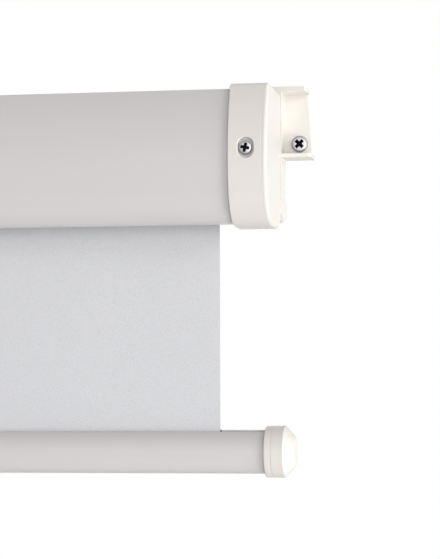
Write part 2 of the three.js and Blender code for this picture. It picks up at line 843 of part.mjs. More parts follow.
function lockPlugGeometry() {
  const bodyRadius = tubeRadius - tubeWall - runningGap;
  const outer = tubeEnd + plugFlange;
  const gapToTube = tubeEnd + runningGap;
  const body = turnedOnX(
    [
      [0, webInner - spigotLength],
      [spigotRadius, webInner - spigotLength],
      [spigotRadius, webInner],
      [bodyRadius, webInner],
      [bodyRadius, gapToTube],
      [tubeRadius, gapToTube],
      [tubeRadius, outer],
      [0, outer],
    ],
    rollerDepth,
    rollerHeight,
    plugSteps,
  );
  const cupRadius = bodyRadius - plugCupWall;
  const cup = rod(cupRadius, webOuter, outer + cutOverrun, rollerDepth, rollerHeight, plugSteps);
  const bore = rod(
    shaftRadius + runningGap,
    webInner - spigotLength - cutOverrun,
    outer + cutOverrun,
    rollerDepth,
    rollerHeight,
    smallSteps,
  );
  const pinEnd = webOuter + wheelToWeb + wheelThickness + wheelToWeb;
  const pins = [1, -1].map((side) =>
    rod(
      pawlPinRadius,
      webOuter - plugWeb / 2,
      pinEnd + coverThickness,
      rollerDepth,
      rollerHeight + side * pawlPivotRadius,
      pinSteps,
    ),
  );
  return join(cut(body, cup, bore), ...pins);
}

// The disc that keeps the pawls on their pins.
function lockCoverGeometry() {
  const inner = webOuter + wheelToWeb + wheelThickness + wheelToWeb;
  const cupRadius = tubeRadius - tubeWall - runningGap - plugCupWall;
  const disc = ring(
    cupRadius - runningGap,
    shaftRadius + ribThickness,
    inner,
    inner + coverThickness,
    rollerDepth,
    rollerHeight,
    plugSteps,
  );
  const holes = [1, -1].map((side) =>
    rod(
      pawlPinRadius + runningGap / 2,
      inner - cutOverrun,
      inner + coverThickness + cutOverrun,
      rollerDepth,
      rollerHeight + side * pawlPivotRadius,
      pinSteps,
    ),
  );
  return cut(disc, ...holes);
}

// The torsion spring, one wire wound round the spindle between the plug's spigot and the arbor.
class Helix extends THREE.Curve {
  getPoint(share, target = new THREE.Vector3()) {
    const angle = share * springTurns * Math.PI * 2;
    const x = springStart + (springEnd - springStart) * share;
    return target.set(
      x,
      -rollerDepth + springCoil * Math.cos(angle),
      rollerHeight + springCoil * Math.sin(angle),
    );
  }
}

function springGeometry() {
  const wire = arc(0, 0, springWire, 0, Math.PI * 2, wireSides).slice(1);
  return new THREE.ExtrudeGeometry(shapeOf(wire), {
    steps: springTurns * wireSteps,
    extrudePath: new Helix(),
  });
}

function arborGeometry() {
  return ring(
    spigotRadius,
    shaftRadius + runningGap,
    arborInner,
    arborInner + arborLength,
    rollerDepth,
    rollerHeight,
    smallSteps,
  );
}

function supportPlugGeometry() {
  return ring(
    tubeRadius - tubeWall - runningGap,
    shaftRadius + runningGap,
    spindleInner,
    supportOuter,
    rollerDepth,
    rollerHeight,
    plugSteps,
  );
}

// Idler side
function idlerPlugGeometry() {
  const bodyRadius = tubeRadius - tubeWall - runningGap;
  const gapToTube = tubeEnd + runningGap;
  const outer = tubeEnd + plugFlange;
  const body = turnedOnX(
    [
      [0, tubeEnd - plugLength],
      [bodyRadius, tubeEnd - plugLength],
      [bodyRadius, gapToTube],
      [tubeRadius, gapToTube],
      [tubeRadius, outer],
      [0, outer],
    ],
    rollerDepth,
    rollerHeight,
    plugSteps,
  );
  const socket = rod(
    shaftRadius + runningGap,
    outer - idlerPinGrip - seatGap,
    outer + cutOverrun,
    rollerDepth,
    rollerHeight,
    smallSteps,
  );
  return cut(body, socket);
}

function idlerPinGeometry() {
  const inner = tubeEnd + plugFlange - idlerPinGrip;
  return rod(shaftRadius, inner, carrierOuter - seatGap, rollerDepth, rollerHeight, smallSteps);
}

function bushGeometry() {
  const bore = shaftRadius + runningGap;
  const profile = [
    [bore, hubInner - bushFlangeLength],
    [bushFlangeRadius, hubInner - bushFlangeLength],
    [bushFlangeRadius, hubInner - runningGap],
    [bore + bushWall, hubInner - runningGap],
    [bore + bushWall, carrierOuter],
    [bore, carrierOuter],
    [bore, hubInner - bushFlangeLength],
  ];
  return turnedOnX(profile, rollerDepth, rollerHeight, smallSteps);
}

// Roller tube and the fabric still wound on it. The outermost turn ends where the fabric leaves the roll.
function rollerTubeGeometry() {
  return ring(tubeRadius, tubeRadius - tubeWall, -tubeEnd, tubeEnd, rollerDepth, rollerHeight);
}

function fabricRollGeometry() {
  const outline = [];
  for (let i = 0; i <= roundSteps; i++) {
    const share = i / roundSteps;
    const angle = Math.PI - share * Math.PI * 2;
    const radius = rollRadius - (fabricThickness + runningGap) * share;
    outline.push([rollerDepth + radius * Math.cos(angle), rollerHeight + radius * Math.sin(angle)]);
  }
  const core = arc(rollerDepth, rollerHeight, tubeRadius + runningGap, 0, Math.PI * 2, roundSteps).slice(1);
  return extrudeAlongX(shapeOf(outline, core), -fabricWidth / 2, fabricWidth / 2);
}

function fabricGeometry() {
  return block(
    -fabricWidth / 2,
    fabricWidth / 2,
    fabricDepth - fabricThickness / 2,
    fabricDepth + fabricThickness / 2,
    slitTop - fabricTuck,
    rollerHeight - seatGap,
  );
}

// Bottom bar: a tube with a slit along its top, in front of its axis, and a round channel under the slit
// for the fabric's spline.
const slitTop = barHeight + Math.sqrt(barRadius ** 2 - slitForward ** 2);
const channelReach = barRadius - channelTopWall - channelRadius;
const channelHeight = barHeight + Math.sqrt(channelReach ** 2 - slitForward ** 2);

function barTubeGeometry() {
  const tube = ring(barRadius, barRadius - barWall, -barEnd, barEnd, barDepth, barHeight);
  const channelOuter = channelRadius + channelWall;
  const rail = rod(channelOuter, -barEnd, barEnd, fabricDepth, channelHeight, smallSteps);
  const neckBlock = block(
    -barEnd,
    barEnd,
    fabricDepth - slitWidth / 2 - channelWall,
    fabricDepth + slitWidth / 2 + channelWall,
    channelHeight,
    barHeight + barRadius,
  );
  const neck = common(neckBlock, rod(barRadius - barWall / 2, -barEnd, barEnd, barDepth, barHeight));
  const end = barEnd + cutOverrun;
  const channel = rod(channelRadius, -end, end, fabricDepth, channelHeight, smallSteps);
  const slit = block(
    -end,
    end,
    fabricDepth - slitWidth / 2,
    fabricDepth + slitWidth / 2,
    channelHeight,
    barHeight + barRadius + cutOverrun,
  );
  const pilotLow = barHeight - barRadius - cutOverrun;
  const pilotHigh = barHeight - barRadius / 2;
  const pilots = handleScrewPlaces.map((x) =>
    uprightRod(handleScrewRadius + runningGap, x, pilotLow, pilotHigh),
  );
  return cut(join(tube, rail, neck), channel, slit, ...pilots);
}

function splineGeometry() {
  const end = fabricWidth / 2 + splinePastFabric;
  const bead = rod(splineRadius, -end, end, fabricDepth, channelHeight, smallSteps);
  const behind = fabricDepth - fabricThickness / 2 - runningGap;
  const webTop = slitTop + splineProud;
  const web = block(-end, end, behind - splineWeb / 2, behind, channelHeight, webTop);
  const slot = block(
    -fabricWidth / 2 - seatGap,
    fabricWidth / 2 + seatGap,
    behind,
    fabricDepth + splineRadius + cutOverrun,
    slitTop - fabricTuck - runningGap,
    channelHeight + splineRadius + cutOverrun,
  );
  return cut(join(bead, web), slot);
}

// The bar's end cap: a sleeve over the tube with a fine groove round it, and a cone to a flat tip.
function barCapGeometry() {
  const inner = capOuter + barCapInnerEdge;
  const groove = inner + barCapSleeve;
  const coneFoot = groove + barCapRing;
  const tip = coneFoot + barCapCone;
  const bore = barRadius + runningGap;
  const sleeveRadius = barCapRadius - barCapStep;
  const floor = barEnd + seatGap;
  const barCapRoundStep = barCapEdge * (1 - Math.SQRT1_2);
  const profile = [
    [bore, inner],
    [sleeveRadius - barCapEdge, inner],
    [sleeveRadius - barCapRoundStep, inner + barCapRoundStep],
    [sleeveRadius, inner + barCapEdge],
    [sleeveRadius, groove - barCapGrooveWidth],
    [sleeveRadius - barCapGrooveDepth, groove - barCapGrooveWidth / 2],
    [barCapRadius, groove],
    [barCapRadius, coneFoot - barCapEdge / 2],
    [barCapRadius - barCapEdge / 2, coneFoot],
    [barCapRadius - barCapTaper, tip],
    [0, tip],
    [0, floor],
    [bore, floor],
    [bore, inner],
  ];
  return turnedOnX(profile, barDepth, barHeight, capSteps);
}

// Pull handle under the middle of the bar
const handleTop = barHeight - barRadius;
const handleScrewPlaces = [1, -1].map((side) => side * (saddleLength / 2 - handleScrewInset));

function uprightRod(radius, x, z0, z1) {
  return new THREE.CylinderGeometry(radius, radius, z1 - z0, smallSteps)
    .rotateX(Math.PI / 2)
    .translate(x, -barDepth, (z0 + z1) / 2);
}

// A four-sided outline with round corners, narrower at its foot.
function taperedOutline(topHalf, footHalf, top, foot, radius) {
  const shape = new THREE.Shape();
  const roundHalf = footHalf + (topHalf - footHalf) * (radius / (top - foot));
  shape.moveTo(-topHalf, top);
  shape.lineTo(-roundHalf, foot + radius);
  shape.quadraticCurveTo(-footHalf, foot, -footHalf + radius, foot);
  shape.lineTo(footHalf - radius, foot);
  shape.quadraticCurveTo(footHalf, foot, roundHalf, foot + radius);
  shape.lineTo(topHalf, top);
  shape.closePath();
  return shape;
}

function pullHandleGeometry() {
  const inner = barRadius + seatGap;
  const half = (saddleAngle / 2) * degree;
  const down = -Math.PI / 2;
  const sector = [
    ...arc(barDepth, barHeight, inner, down - half, down + half, cornerSteps * 2),
    ...arc(barDepth, barHeight, inner + saddleThickness, down + half, down - half, cornerSteps * 2),
  ];
  const saddle = extrudeAlongX(shapeOf(sector), -saddleLength / 2, saddleLength / 2);
  const foot = handleTop - handleDrop;
  const outer = taperedOutline(handleTopWidth / 2, handleBottomWidth / 2, handleTop, foot, handleOuterCorner);
  const loop = extrudeToDepth(
    outer,
    barDepth - handleThickness / 2,
    barDepth + handleThickness / 2,
    handleBevel,
  );
  const opening = taperedOutline(
    handleTopWidth / 2 - handleBand,
    handleBottomWidth / 2 - handleBand,
    handleTop - handleRoof,
    foot + handleBand,
    handleInnerCorner,
  );
  const hole = extrudeToDepth(
    opening,
    barDepth - handleThickness,
    barDepth + handleThickness,
  );
  const tubeRoom = rod(inner, -saddleLength, saddleLength, barDepth, barHeight);
  const holes = handleScrewPlaces.map((x) =>
    uprightRod(handleScrewRadius + runningGap, x, foot, barHeight),
  );
  const seats = handleScrewPlaces.map((x) =>
    uprightRod(
      handleScrewHeadRadius + runningGap,
      x,
      foot,
      handleTop - seatGap - saddleThickness + runningGap,
    ),
  );
  return cut(join(saddle, loop), hole, tubeRoom, ...holes, ...seats);
}

function handleScrewGeometry() {
  const seat = handleTop - seatGap - saddleThickness;
  const profile = [
    [0, seat - handleScrewHeadHeight],
    [handleScrewHeadRadius * handleHeadShare, seat - handleScrewHeadHeight],
    [handleScrewHeadRadius, seat - handleScrewHeadHeight / 2],
    [handleScrewHeadRadius, seat],
    [handleScrewRadius, seat],
    [handleScrewRadius, seat + handleScrewLength * handlePointShare],
    [0, seat + handleScrewLength],
  ];
  return turned(profile, screwSteps).rotateX(Math.PI / 2).translate(0, -barDepth, 0);
}

// Assembly. A joint's pieces share a group.
const screen = new THREE.Group();
const housing = new THREE.Group();
const roller = new THREE.Group();
const bar = new THREE.Group();
screen.add(housing, roller, bar);

function place(group, name, geometry, material) {
  const mesh = new THREE.Mesh(geometry, material);
  mesh.name = name;
  geometry.computeVertexNormals();
  group.add(mesh);
  return mesh;
}

// A group whose +X points outwards at the left end too.
function endGroup(parent, side) {
  const group = new THREE.Group();
  group.scale.x = side;
  parent.add(group);
  return group;
}

place(housing, "casing", casingGeometry(), finishes.casing);
place(housing, "screen_fabric", fabricGeometry(), finishes.fabric);

const lockBore = tangBlock(runningGap, cutOverrun);
const bushBore = rod(
  shaftRadius + runningGap + bushWall + runningGap / 2,
  hubInner - cutOverrun,
  carrierOuter + cutOverrun,
  rollerDepth,
  rollerHeight,
  smallSteps,
);
for (const [side, word, bore] of [[1, "right", bushBore], [-1, "left", lockBore]]) {
  const end = endGroup(housing, side);
  place(end, `end_cap_${word}`, endCapGeometry(), finishes.moulding);
  place(end, `wall_bracket_${word}`, bracketGeometry(), finishes.moulding);
  place(end, `roller_plate_${word}`, rollerPlateGeometry(bore), finishes.nylon);
  const capScrew = place(
    end,
    `cap_screw_${word}`,
    panScrew(capScrewHeadRadius, capScrewHeadHeight, capScrewShankRadius, capScrewLength, seatGap, 0),
    finishes.screw,
  );
  capScrew.position.set(carrierMiddle, -(capFront - screwRecessDepth + runningGap), capScrewHeight);
  const wallScrew = place(
    end,
    `wall_screw_${word}`,
    panScrew(
      wallScrewHeadRadius,
      wallScrewHeadHeight,
      wallScrewShankRadius,
      wallScrewLength,
      wallScrewPoint,
      0,
    ),
    finishes.screw,
  );
  wallScrew.position.set(capOuter + wallScrewOutward, -(plateThickness + runningGap), 0);
  const barSide = endGroup(bar, side);
  place(barSide, `bar_end_cap_${word}`, barCapGeometry(), finishes.moulding);
}

const lockEnd = endGroup(housing, -1);
place(lockEnd, "spindle", spindleGeometry(), finishes.steel);
place(lockEnd, "ratchet_wheel", ratchetWheelGeometry(), finishes.steel);
place(lockEnd, "arbor_collar", arborGeometry(), finishes.nylon);
place(housing, "bearing_bush", bushGeometry(), finishes.nylon);

place(roller, "roller_tube", rollerTubeGeometry(), finishes.tube);
place(roller, "fabric_roll", fabricRollGeometry(), finishes.fabric);
place(roller, "idler_plug", idlerPlugGeometry(), finishes.nylon);
place(roller, "idler_pin", idlerPinGeometry(), finishes.steel);
const rollerLockEnd = endGroup(roller, -1);
place(rollerLockEnd, "lock_end_plug", lockPlugGeometry(), finishes.nylon);
place(rollerLockEnd, "lock_cover", lockCoverGeometry(), finishes.steel);
place(rollerLockEnd, "torsion_spring", springGeometry(), finishes.steel);
place(rollerLockEnd, "tube_support_plug", supportPlugGeometry(), finishes.nylon);

for (const [word, side] of [["upper", 1], ["lower", -1]]) {
  const pawlGroup = new THREE.Group();
  pawlGroup.position.set(0, -rollerDepth, rollerHeight);
  pawlGroup.rotation.x = side > 0 ? 0 : Math.PI;
  const pawl = place(pawlGroup, `pawl_${word}`, pawlGeometry(), finishes.steel);
  pawl.position.z = pawlPivotRadius;
  rollerLockEnd.add(pawlGroup);
}

place(bar, "bar_tube", barTubeGeometry(), finishes.casing);
place(bar, "fabric_spline", splineGeometry(), finishes.spline);
place(bar, "pull_handle", pullHandleGeometry(), finishes.moulding);
handleScrewPlaces.forEach((x, i) => {
  const screw = place(bar, `handle_screw_${i ? "left" : "right"}`, handleScrewGeometry(), finishes.screw);
  screw.position.x = x;
});

export default screen;
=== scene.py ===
import math

import bmesh
import bpy
from mathutils import Matrix, Vector
from mathutils.geometry import tessellate_polygon


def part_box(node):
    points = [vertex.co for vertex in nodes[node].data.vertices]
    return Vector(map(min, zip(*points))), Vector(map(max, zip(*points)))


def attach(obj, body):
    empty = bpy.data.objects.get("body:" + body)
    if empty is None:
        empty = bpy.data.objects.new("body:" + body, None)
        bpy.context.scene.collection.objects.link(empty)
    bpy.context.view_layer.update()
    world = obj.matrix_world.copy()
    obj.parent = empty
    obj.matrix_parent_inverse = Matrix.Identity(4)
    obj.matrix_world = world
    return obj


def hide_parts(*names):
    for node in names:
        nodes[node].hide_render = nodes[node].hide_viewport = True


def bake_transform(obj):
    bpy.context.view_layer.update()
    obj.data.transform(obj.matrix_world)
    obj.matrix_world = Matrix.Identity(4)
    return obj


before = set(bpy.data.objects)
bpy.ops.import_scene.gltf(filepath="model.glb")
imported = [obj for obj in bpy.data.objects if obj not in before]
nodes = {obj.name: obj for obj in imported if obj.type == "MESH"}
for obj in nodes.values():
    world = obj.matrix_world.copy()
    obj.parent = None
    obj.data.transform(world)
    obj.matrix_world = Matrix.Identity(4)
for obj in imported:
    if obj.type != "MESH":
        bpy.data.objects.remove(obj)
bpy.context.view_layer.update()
mm = 0.001  # pieces are drawn in millimetres
degree = math.pi / 180
print("frame loaded:", len(nodes), "nodes")


def newObject(name, data):
    obj = bpy.data.objects.new(name, data)
    bpy.context.scene.collection.objects.link(obj)
    return obj


# Camera, at the photograph's viewpoint
cameraSettings = {
    "place": (0.8439, -1.2660, -0.1688),  # metres
    "yaw": 10,  # degrees to the left
    "pitch": 3.949,  # degrees up
    "focalPixels": 2151,
    "imageHeight": 559,  # pixels
    "sensor": 36,  # millimetres
    "nearest": 0.01,  # metres
}


def makeCamera(s):
    data = bpy.data.cameras.new("camera")
    data.sensor_width = s["sensor"]
    data.lens = s["focalPixels"] / s["imageHeight"] * s["sensor"]
    data.clip_start = s["nearest"]
    camera = newObject("camera", data)
    yaw, pitch = s["yaw"] * degree, s["pitch"] * degree
    ahead = Vector((-math.sin(yaw) * math.cos(pitch), math.cos(yaw) * math.cos(pitch), math.sin(pitch)))
    camera.location = s["place"]
    camera.rotation_euler = ahead.to_track_quat("-Z", "Y").to_euler()
    bpy.context.scene.camera = camera


makeCamera(cameraSettings)
bpy.context.scene.view_settings.view_transform = "Standard"
print("camera made")


# Small tools
tolerances = {
    "merge": 1e-4,  # millimetres within which corners are one
    "degenerate": 1e-5,
    "copyMerge": 1e-3,
    "flat": 0.2,  # degrees within which faces are one
    "copyFlat": 0.5,
    "sharp": 32,  # degrees from which an edge is shaded sharp
}


def linear(hexColour):
    parts = [int(hexColour[i:i + 2], 16) / 255 for i in (1, 3, 5)]
    return [c / 12.92 if c <= 0.04045 else ((c + 0.055) / 1.055) ** 2.4 for c in parts] + [1]


def addNode(tree, kind, settings=None, links=None):
    node = tree.nodes.new(kind)
    for name, value in (settings or {}).items():
        if isinstance(name, str) and hasattr(node, name):
            setattr(node, name, value)
        else:
            node.inputs[name].default_value = value
    for name, source in (links or {}).items():
        tree.links.new(source, node.inputs[name])
    return node


def boxOf(node):
    low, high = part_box(node)
    return low / mm, high / mm


def middleOf(node):  # x, depth and height
    low, high = boxOf(node)
    return (low.x + high.x) / 2, -(low.y + high.y) / 2, (low.z + high.z) / 2


def arcPoints(centre, radius, start, end, steps):
    turns = [start + (end - start) * i / steps for i in range(steps + 1)]
    return [(centre[0] + radius * math.cos(a), centre[1] + radius * math.sin(a)) for a in turns]


def circle(centre, radius, steps):
    return arcPoints(centre, radius, 0, math.pi * 2 * (steps - 1) / steps, steps - 1)


def closeUp(bm):  # merges doubles and turns every face outwards
    bmesh.ops.remove_doubles(bm, verts=bm.verts, dist=tolerances["merge"])
    bmesh.ops.dissolve_degenerate(bm, edges=bm.edges, dist=tolerances["degenerate"])
    bmesh.ops.recalc_face_normals(bm, faces=bm.faces)
    return bm


def bridge(bm, low, high, last=None):  # faces between two rings, or between their first stretches
    for i in range(len(low) if last is None else last):
        j = (i + 1) % len(low)
        bm.faces.new((low[i], low[j], high[j], high[i]))


def prism(loops, start, end, corner):  # an outline and its holes, drawn out between two places
    bm = bmesh.new()
    rings = [[[bm.verts.new(corner(p, at)) for p in loop] for loop in loops] for at in (start, end)]
    for low, high in zip(*rings):
        bridge(bm, low, high)
    flat = [[Vector((a, b, 0)) for a, b in loop] for loop in loops]
    for side in rings:
        corners = [v for loop in side for v in loop]
        for face in tessellate_polygon(flat):
            bm.faces.new([corners[i] for i in face])
    bmesh.ops.dissolve_limit(bm, angle_limit=tolerances["flat"] * degree, verts=bm.verts, edges=bm.edges)
    return closeUp(bm)


def alongX(loops, x0, x1):  # corners are (depth, height)
    return prism(loops, x0, x1, lambda p, x: (x, -p[0], p[1]))


def towardsWall(loops, front, back):  # corners are (x, height), places are depths
    return prism(loops, front, back, lambda p, depth: (p[0], -depth, p[1]))


def upright(loops, low, high):  # corners are (x, depth)
    return prism(loops, low, high, lambda p, z: (p[0], -p[1], z))


def box(x0, x1, depth0, depth1, z0, z1):
    return alongX([[(depth0, z0), (depth1, z0), (depth1, z1), (depth0, z1)]], x0, x1)


def loft(rings):  # rings of (x, y, z) corners, joined, with a face over each end
    bm = bmesh.new()
    made = [[bm.verts.new(corner) for corner in ring] for ring in rings]
    for low, high in zip(made, made[1:]):
        bridge(bm, low, high)
    bm.faces.new(made[0])
    bm.faces.new(made[-1])
    return closeUp(bm)


def turned(profile, steps, closed=False):  # (radius, along) corners turned round the X axis
    bm = bmesh.new()
    rings = []
    for k in range(steps):
        a = 2 * math.pi * k / steps
        rings.append([bm.verts.new((x, r * math.cos(a), r * math.sin(a))) for r, x in profile])
    last = len(profile) if closed else len(profile) - 1
    for k in range(steps):
        bridge(bm, rings[k], rings[(k + 1) % steps], last)
    return closeUp(bm)


def moved(bm, matrix):
    bm.transform(matrix)
    bmesh.ops.recalc_face_normals(bm, faces=bm.faces)
    return bm


# Where the turning axis points: towards the viewer, or up
outOfWall = Matrix(((0, 1, 0, 0), (-1, 0, 0, 0), (0, 0, 1, 0), (0, 0, 0, 1)))
upwards = Matrix(((0, 0, 1, 0), (0, 1, 0, 0), (-1, 0, 0, 0), (0, 0, 0, 1))).inverted()


def atPlace(x, depth, height, turn=Matrix()):
    return Matrix.Translation((x, -depth, height)) @ turn


def meshOf(source):  # a mesh stays as it is
    if not isinstance(source, bmesh.types.BMesh):
        return source
    mesh = bpy.data.meshes.new("work")
    source.to_mesh(mesh)
    source.free()
    return mesh


def baked(obj):  # the evaluated mesh of an object, which is then removed
    graph = bpy.context.evaluated_depsgraph_get()
    graph.update()
    mesh = bpy.data.meshes.new_from_object(obj.evaluated_get(graph))
    bpy.data.objects.remove(obj)
    return mesh


def working(source, name="work"):
    return newObject(name, meshOf(source))


def combined(body, tools, operation):
    obj = working(body)
    helpers = [working(tool) for tool in tools]
    for helper in helpers:
        modifier = obj.modifiers.new("combine", "BOOLEAN")
        modifier.operation = operation
        modifier.solver = "EXACT"
        modifier.object = helper
    mesh = baked(obj)
    for helper in helpers:
        bpy.data.objects.remove(helper)
    return mesh


def cut(body, *tools):
    return combined(body, tools, "DIFFERENCE")


def join(body, *others):
    return combined(body, others, "UNION")


def common(body, other):
    return combined(body, [other], "INTERSECT")


def modified(source, kind, settings):  # the mesh that a modifier makes of a source
    obj = working(source)
    modifier = obj.modifiers.new("step", kind)
    for name, value in settings.items():
        setattr(modifier, name, value)
    return baked(obj)


def rounded(source, width, segments, limit=40):  # edges sharper than the limit get a radius
    return modified(source, "BEVEL", {
        "width": width, "segments": segments, "use_clamp_overlap": True,
        "limit_method": "ANGLE", "angle_limit": limit * degree,
    })


def thickened(source, thickness):  # cloth, with half its thickness on each side of the surface
    return modified(source, "SOLIDIFY", {"thickness": thickness, "offset": 0})


def copyOfNode(node):  # a CAD node's mesh in millimetres, merged into whole faces
    bm = bmesh.new()
    bm.from_mesh(nodes[node].data)
    bm.transform(Matrix.Scale(1 / mm, 4))
    bmesh.ops.remove_doubles(bm, verts=bm.verts, dist=tolerances["copyMerge"])
    bmesh.ops.dissolve_limit(bm, angle_limit=tolerances["copyFlat"] * degree, verts=bm.verts, edges=bm.edges)
    bmesh.ops.recalc_face_normals(bm, faces=bm.faces)
    return bm


def mirrored(mesh, side):
    bm = bmesh.new()
    bm.from_mesh(mesh)
    if side < 0:
        bm.transform(Matrix.Scale(-1, 4, (1, 0, 0)))
        bmesh.ops.reverse_faces(bm, faces=bm.faces)
    return bm


def finished(source, name, looks, body, replaced):
    # the piece in metres, smooth but for its sharp edges, on its body
    mesh = meshOf(source)
    mesh.transform(Matrix.Scale(mm, 4))
    mesh.name = name
    fillings = [face.material_index for face in mesh.polygons]
    mesh.materials.clear()
    for look in looks:
        mesh.materials.append(finishes[look])
    for face, filling in zip(mesh.polygons, fillings):
        face.use_smooth = True
        face.material_index = min(filling, len(looks) - 1)
    mesh.set_sharp_from_angle(angle=tolerances["sharp"] * degree)
    piece = working(modified(mesh, "WEIGHTED_NORMAL", {"keep_sharp": True}), name)
    piece.data.name = name
    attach(piece, body)
    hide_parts(replaced)
    return piece


def newTree(name, inputs, output):  # a geometry tree, whose inputs are named under their types
    tree = bpy.data.node_groups.new(name, "GeometryNodeTree")
    for kind, names in inputs.items():
        for one in names:
            tree.interface.new_socket(name=one, in_out="INPUT", socket_type="NodeSocket" + kind)
    tree.interface.new_socket(name=output, in_out="OUTPUT", socket_type="NodeSocketGeometry")
    return tree, addNode(tree, "NodeGroupInput").outputs


def endTree(tree, geometry, finish):
    real = addNode(tree, "GeometryNodeRealizeInstances", {}, {"Geometry": geometry})
    whole = addNode(tree, "GeometryNodeSetMaterial", {}, {"Geometry": real.outputs[0], "Material": finish})
    addNode(tree, "NodeGroupOutput", {}, {0: whole.outputs[0]})


def grown(source, tree, values):  # the mesh that a tree grows on a source, with its inputs set by name
    host = working(source)
    modifier = host.modifiers.new("grow", "NODES")
    modifier.node_group = tree
    for item in tree.interface.items_tree:
        if item.in_out == "INPUT" and item.name in values:
            modifier[item.identifier] = values[item.name]
    return baked(host)


# Materials
def newMaterial(name, settings):
    material = bpy.data.materials.new(name)
    material.use_nodes = True
    shader = material.node_tree.nodes["Principled BSDF"]
    for socket, value in settings.items():
        shader.inputs[socket].default_value = value
    return material, material.node_tree


def dressed(material, sources):  # the shader's sockets, each linked to a node's output
    tree = material.node_tree
    for socket, source in sources.items():
        tree.links.new(source, tree.nodes["Principled BSDF"].inputs[socket])
    return material


def sizeToScale(millimetres):  # a texture's scale for features of that size
    return 1 / (millimetres * mm)


def powderCoat():
    # polyester powder coat on a rolled aluminium section: an even semi-gloss skin with a trace of orange peel
    s = {"light": "#cfcccc", "dark": "#cac8c8", "peel": 1.6, "peelHeight": 0.004, "drift": 90}
    material, tree = newMaterial("powderCoatedAluminium", {"Roughness": 0.36, "IOR": 1.5})
    place = {"Vector": addNode(tree, "ShaderNodeTexCoord").outputs["Object"]}
    drift = addNode(tree, "ShaderNodeTexNoise", {"Scale": sizeToScale(s["drift"]), "Detail": 2}, place)
    peel = addNode(tree, "ShaderNodeTexNoise", {"Scale": sizeToScale(s["peel"]), "Detail": 1}, place)
    colours = {"data_type": "RGBA", 6: linear(s["light"]), 7: linear(s["dark"])}
    colour = addNode(tree, "ShaderNodeMix", colours, {0: drift.outputs[0]})
    height = {"Strength": 1, "Distance": s["peelHeight"] * mm}
    bump = addNode(tree, "ShaderNodeBump", height, {"Height": peel.outputs[0]})
    return dressed(material, {"Base Color": colour.outputs[2], "Normal": bump.outputs[0]})


def mouldedAbs(name, light, dark):
    # ABS from a spark-eroded mould: warm ivory with a soft sheen and a very fine grain
    s = {"grain": 0.7, "grainHeight": 0.006, "drift": 45}
    material, tree = newMaterial(name, {"Roughness": 0.42, "IOR": 1.53})
    place = {"Vector": addNode(tree, "ShaderNodeTexCoord").outputs["Object"]}
    drift = addNode(tree, "ShaderNodeTexNoise", {"Scale": sizeToScale(s["drift"]), "Detail": 3}, place)
    grain = addNode(tree, "ShaderNodeTexNoise", {"Scale": sizeToScale(s["grain"]), "Detail": 2}, place)
    colours = {"data_type": "RGBA", 6: linear(light), 7: linear(dark)}
    colour = addNode(tree, "ShaderNodeMix", colours, {0: drift.outputs[0]})
    height = {"Strength": 1, "Distance": s["grainHeight"] * mm}
    bump = addNode(tree, "ShaderNodeBump", height, {"Height": grain.outputs[0]})
    return dressed(material, {"Base Color": colour.outputs[2], "Normal": bump.outputs[0]})


def screenCloth():
    # PVC-coated cloth, embossed between rollers: matte cool white with a random leather-like grain, whose
    # valleys are painted darker as shade
    s = {
        "light": "#dadbdf",
        "valleyShade": "#cbccd0",
        "grain": 0.62,
        "grainHeight": 0.08,
        "grainSoftness": 0.6,
        "thread": 0.35,
        "threadHeight": 0.006,
    }
    gloss = {"Roughness": 0.88, "IOR": 1.45, "Sheen Weight": 0.08}
    material, tree = newMaterial("embossedScreenCloth", gloss)
    place = {"Vector": addNode(tree, "ShaderNodeTexCoord").outputs["Object"]}
    cells = {"feature": "SMOOTH_F1", "Scale": sizeToScale(s["grain"]), "Smoothness": s["grainSoftness"]}
    pebbles = addNode(tree, "ShaderNodeTexVoronoi", cells, place).outputs["Distance"]
    threads = addNode(tree, "ShaderNodeTexNoise", {"Scale": sizeToScale(s["thread"]), "Detail": 2}, place)
    colours = {"data_type": "RGBA", 6: linear(s["light"]), 7: linear(s["valleyShade"])}
    colour = addNode(tree, "ShaderNodeMix", colours, {0: pebbles})
    threadHeight = {"Strength": 1, "Distance": s["threadHeight"] * mm}
    fine = addNode(tree, "ShaderNodeBump", threadHeight, {"Height": threads.outputs[0]})
    grainHeight = {"Strength": 1, "Distance": s["grainHeight"] * mm, "invert": True}
    bump = addNode(tree, "ShaderNodeBump", grainHeight, {"Height": pebbles, "Normal": fine.outputs[0]})
    return dressed(material, {"Base Color": colour.outputs[2], "Normal": bump.outputs[0]})


def metal(name, light, dark, roughness, grain, grainHeight, stretch=(1, 1, 1)):
    # a bare or plated metal, with its grain as fine ups and downs in gloss
    material, tree = newMaterial(name, {"Metallic": 1.0})
    place = {"Vector": addNode(tree, "ShaderNodeTexCoord").outputs["Object"]}
    drawn = {"Vector": addNode(tree, "ShaderNodeMapping", {"Scale": stretch}, place).outputs[0]}
    noise = addNode(tree, "ShaderNodeTexNoise", {"Scale": sizeToScale(grain), "Detail": 3}, drawn).outputs[0]
    colours = {"data_type": "RGBA", 6: linear(light), 7: linear(dark)}
    colour = addNode(tree, "ShaderNodeMix", colours, {0: noise})
    ends = {"To Min": roughness[0], "To Max": roughness[1]}
    gloss = addNode(tree, "ShaderNodeMapRange", ends, {"Value": noise})
    height = {"Strength": 1, "Distance": grainHeight * mm}
    bump = addNode(tree, "ShaderNodeBump", height, {"Height": noise})
    return dressed(material, {
        "Base Color": colour.outputs[2], "Roughness": gloss.outputs[0], "Normal": bump.outputs[0],
    })


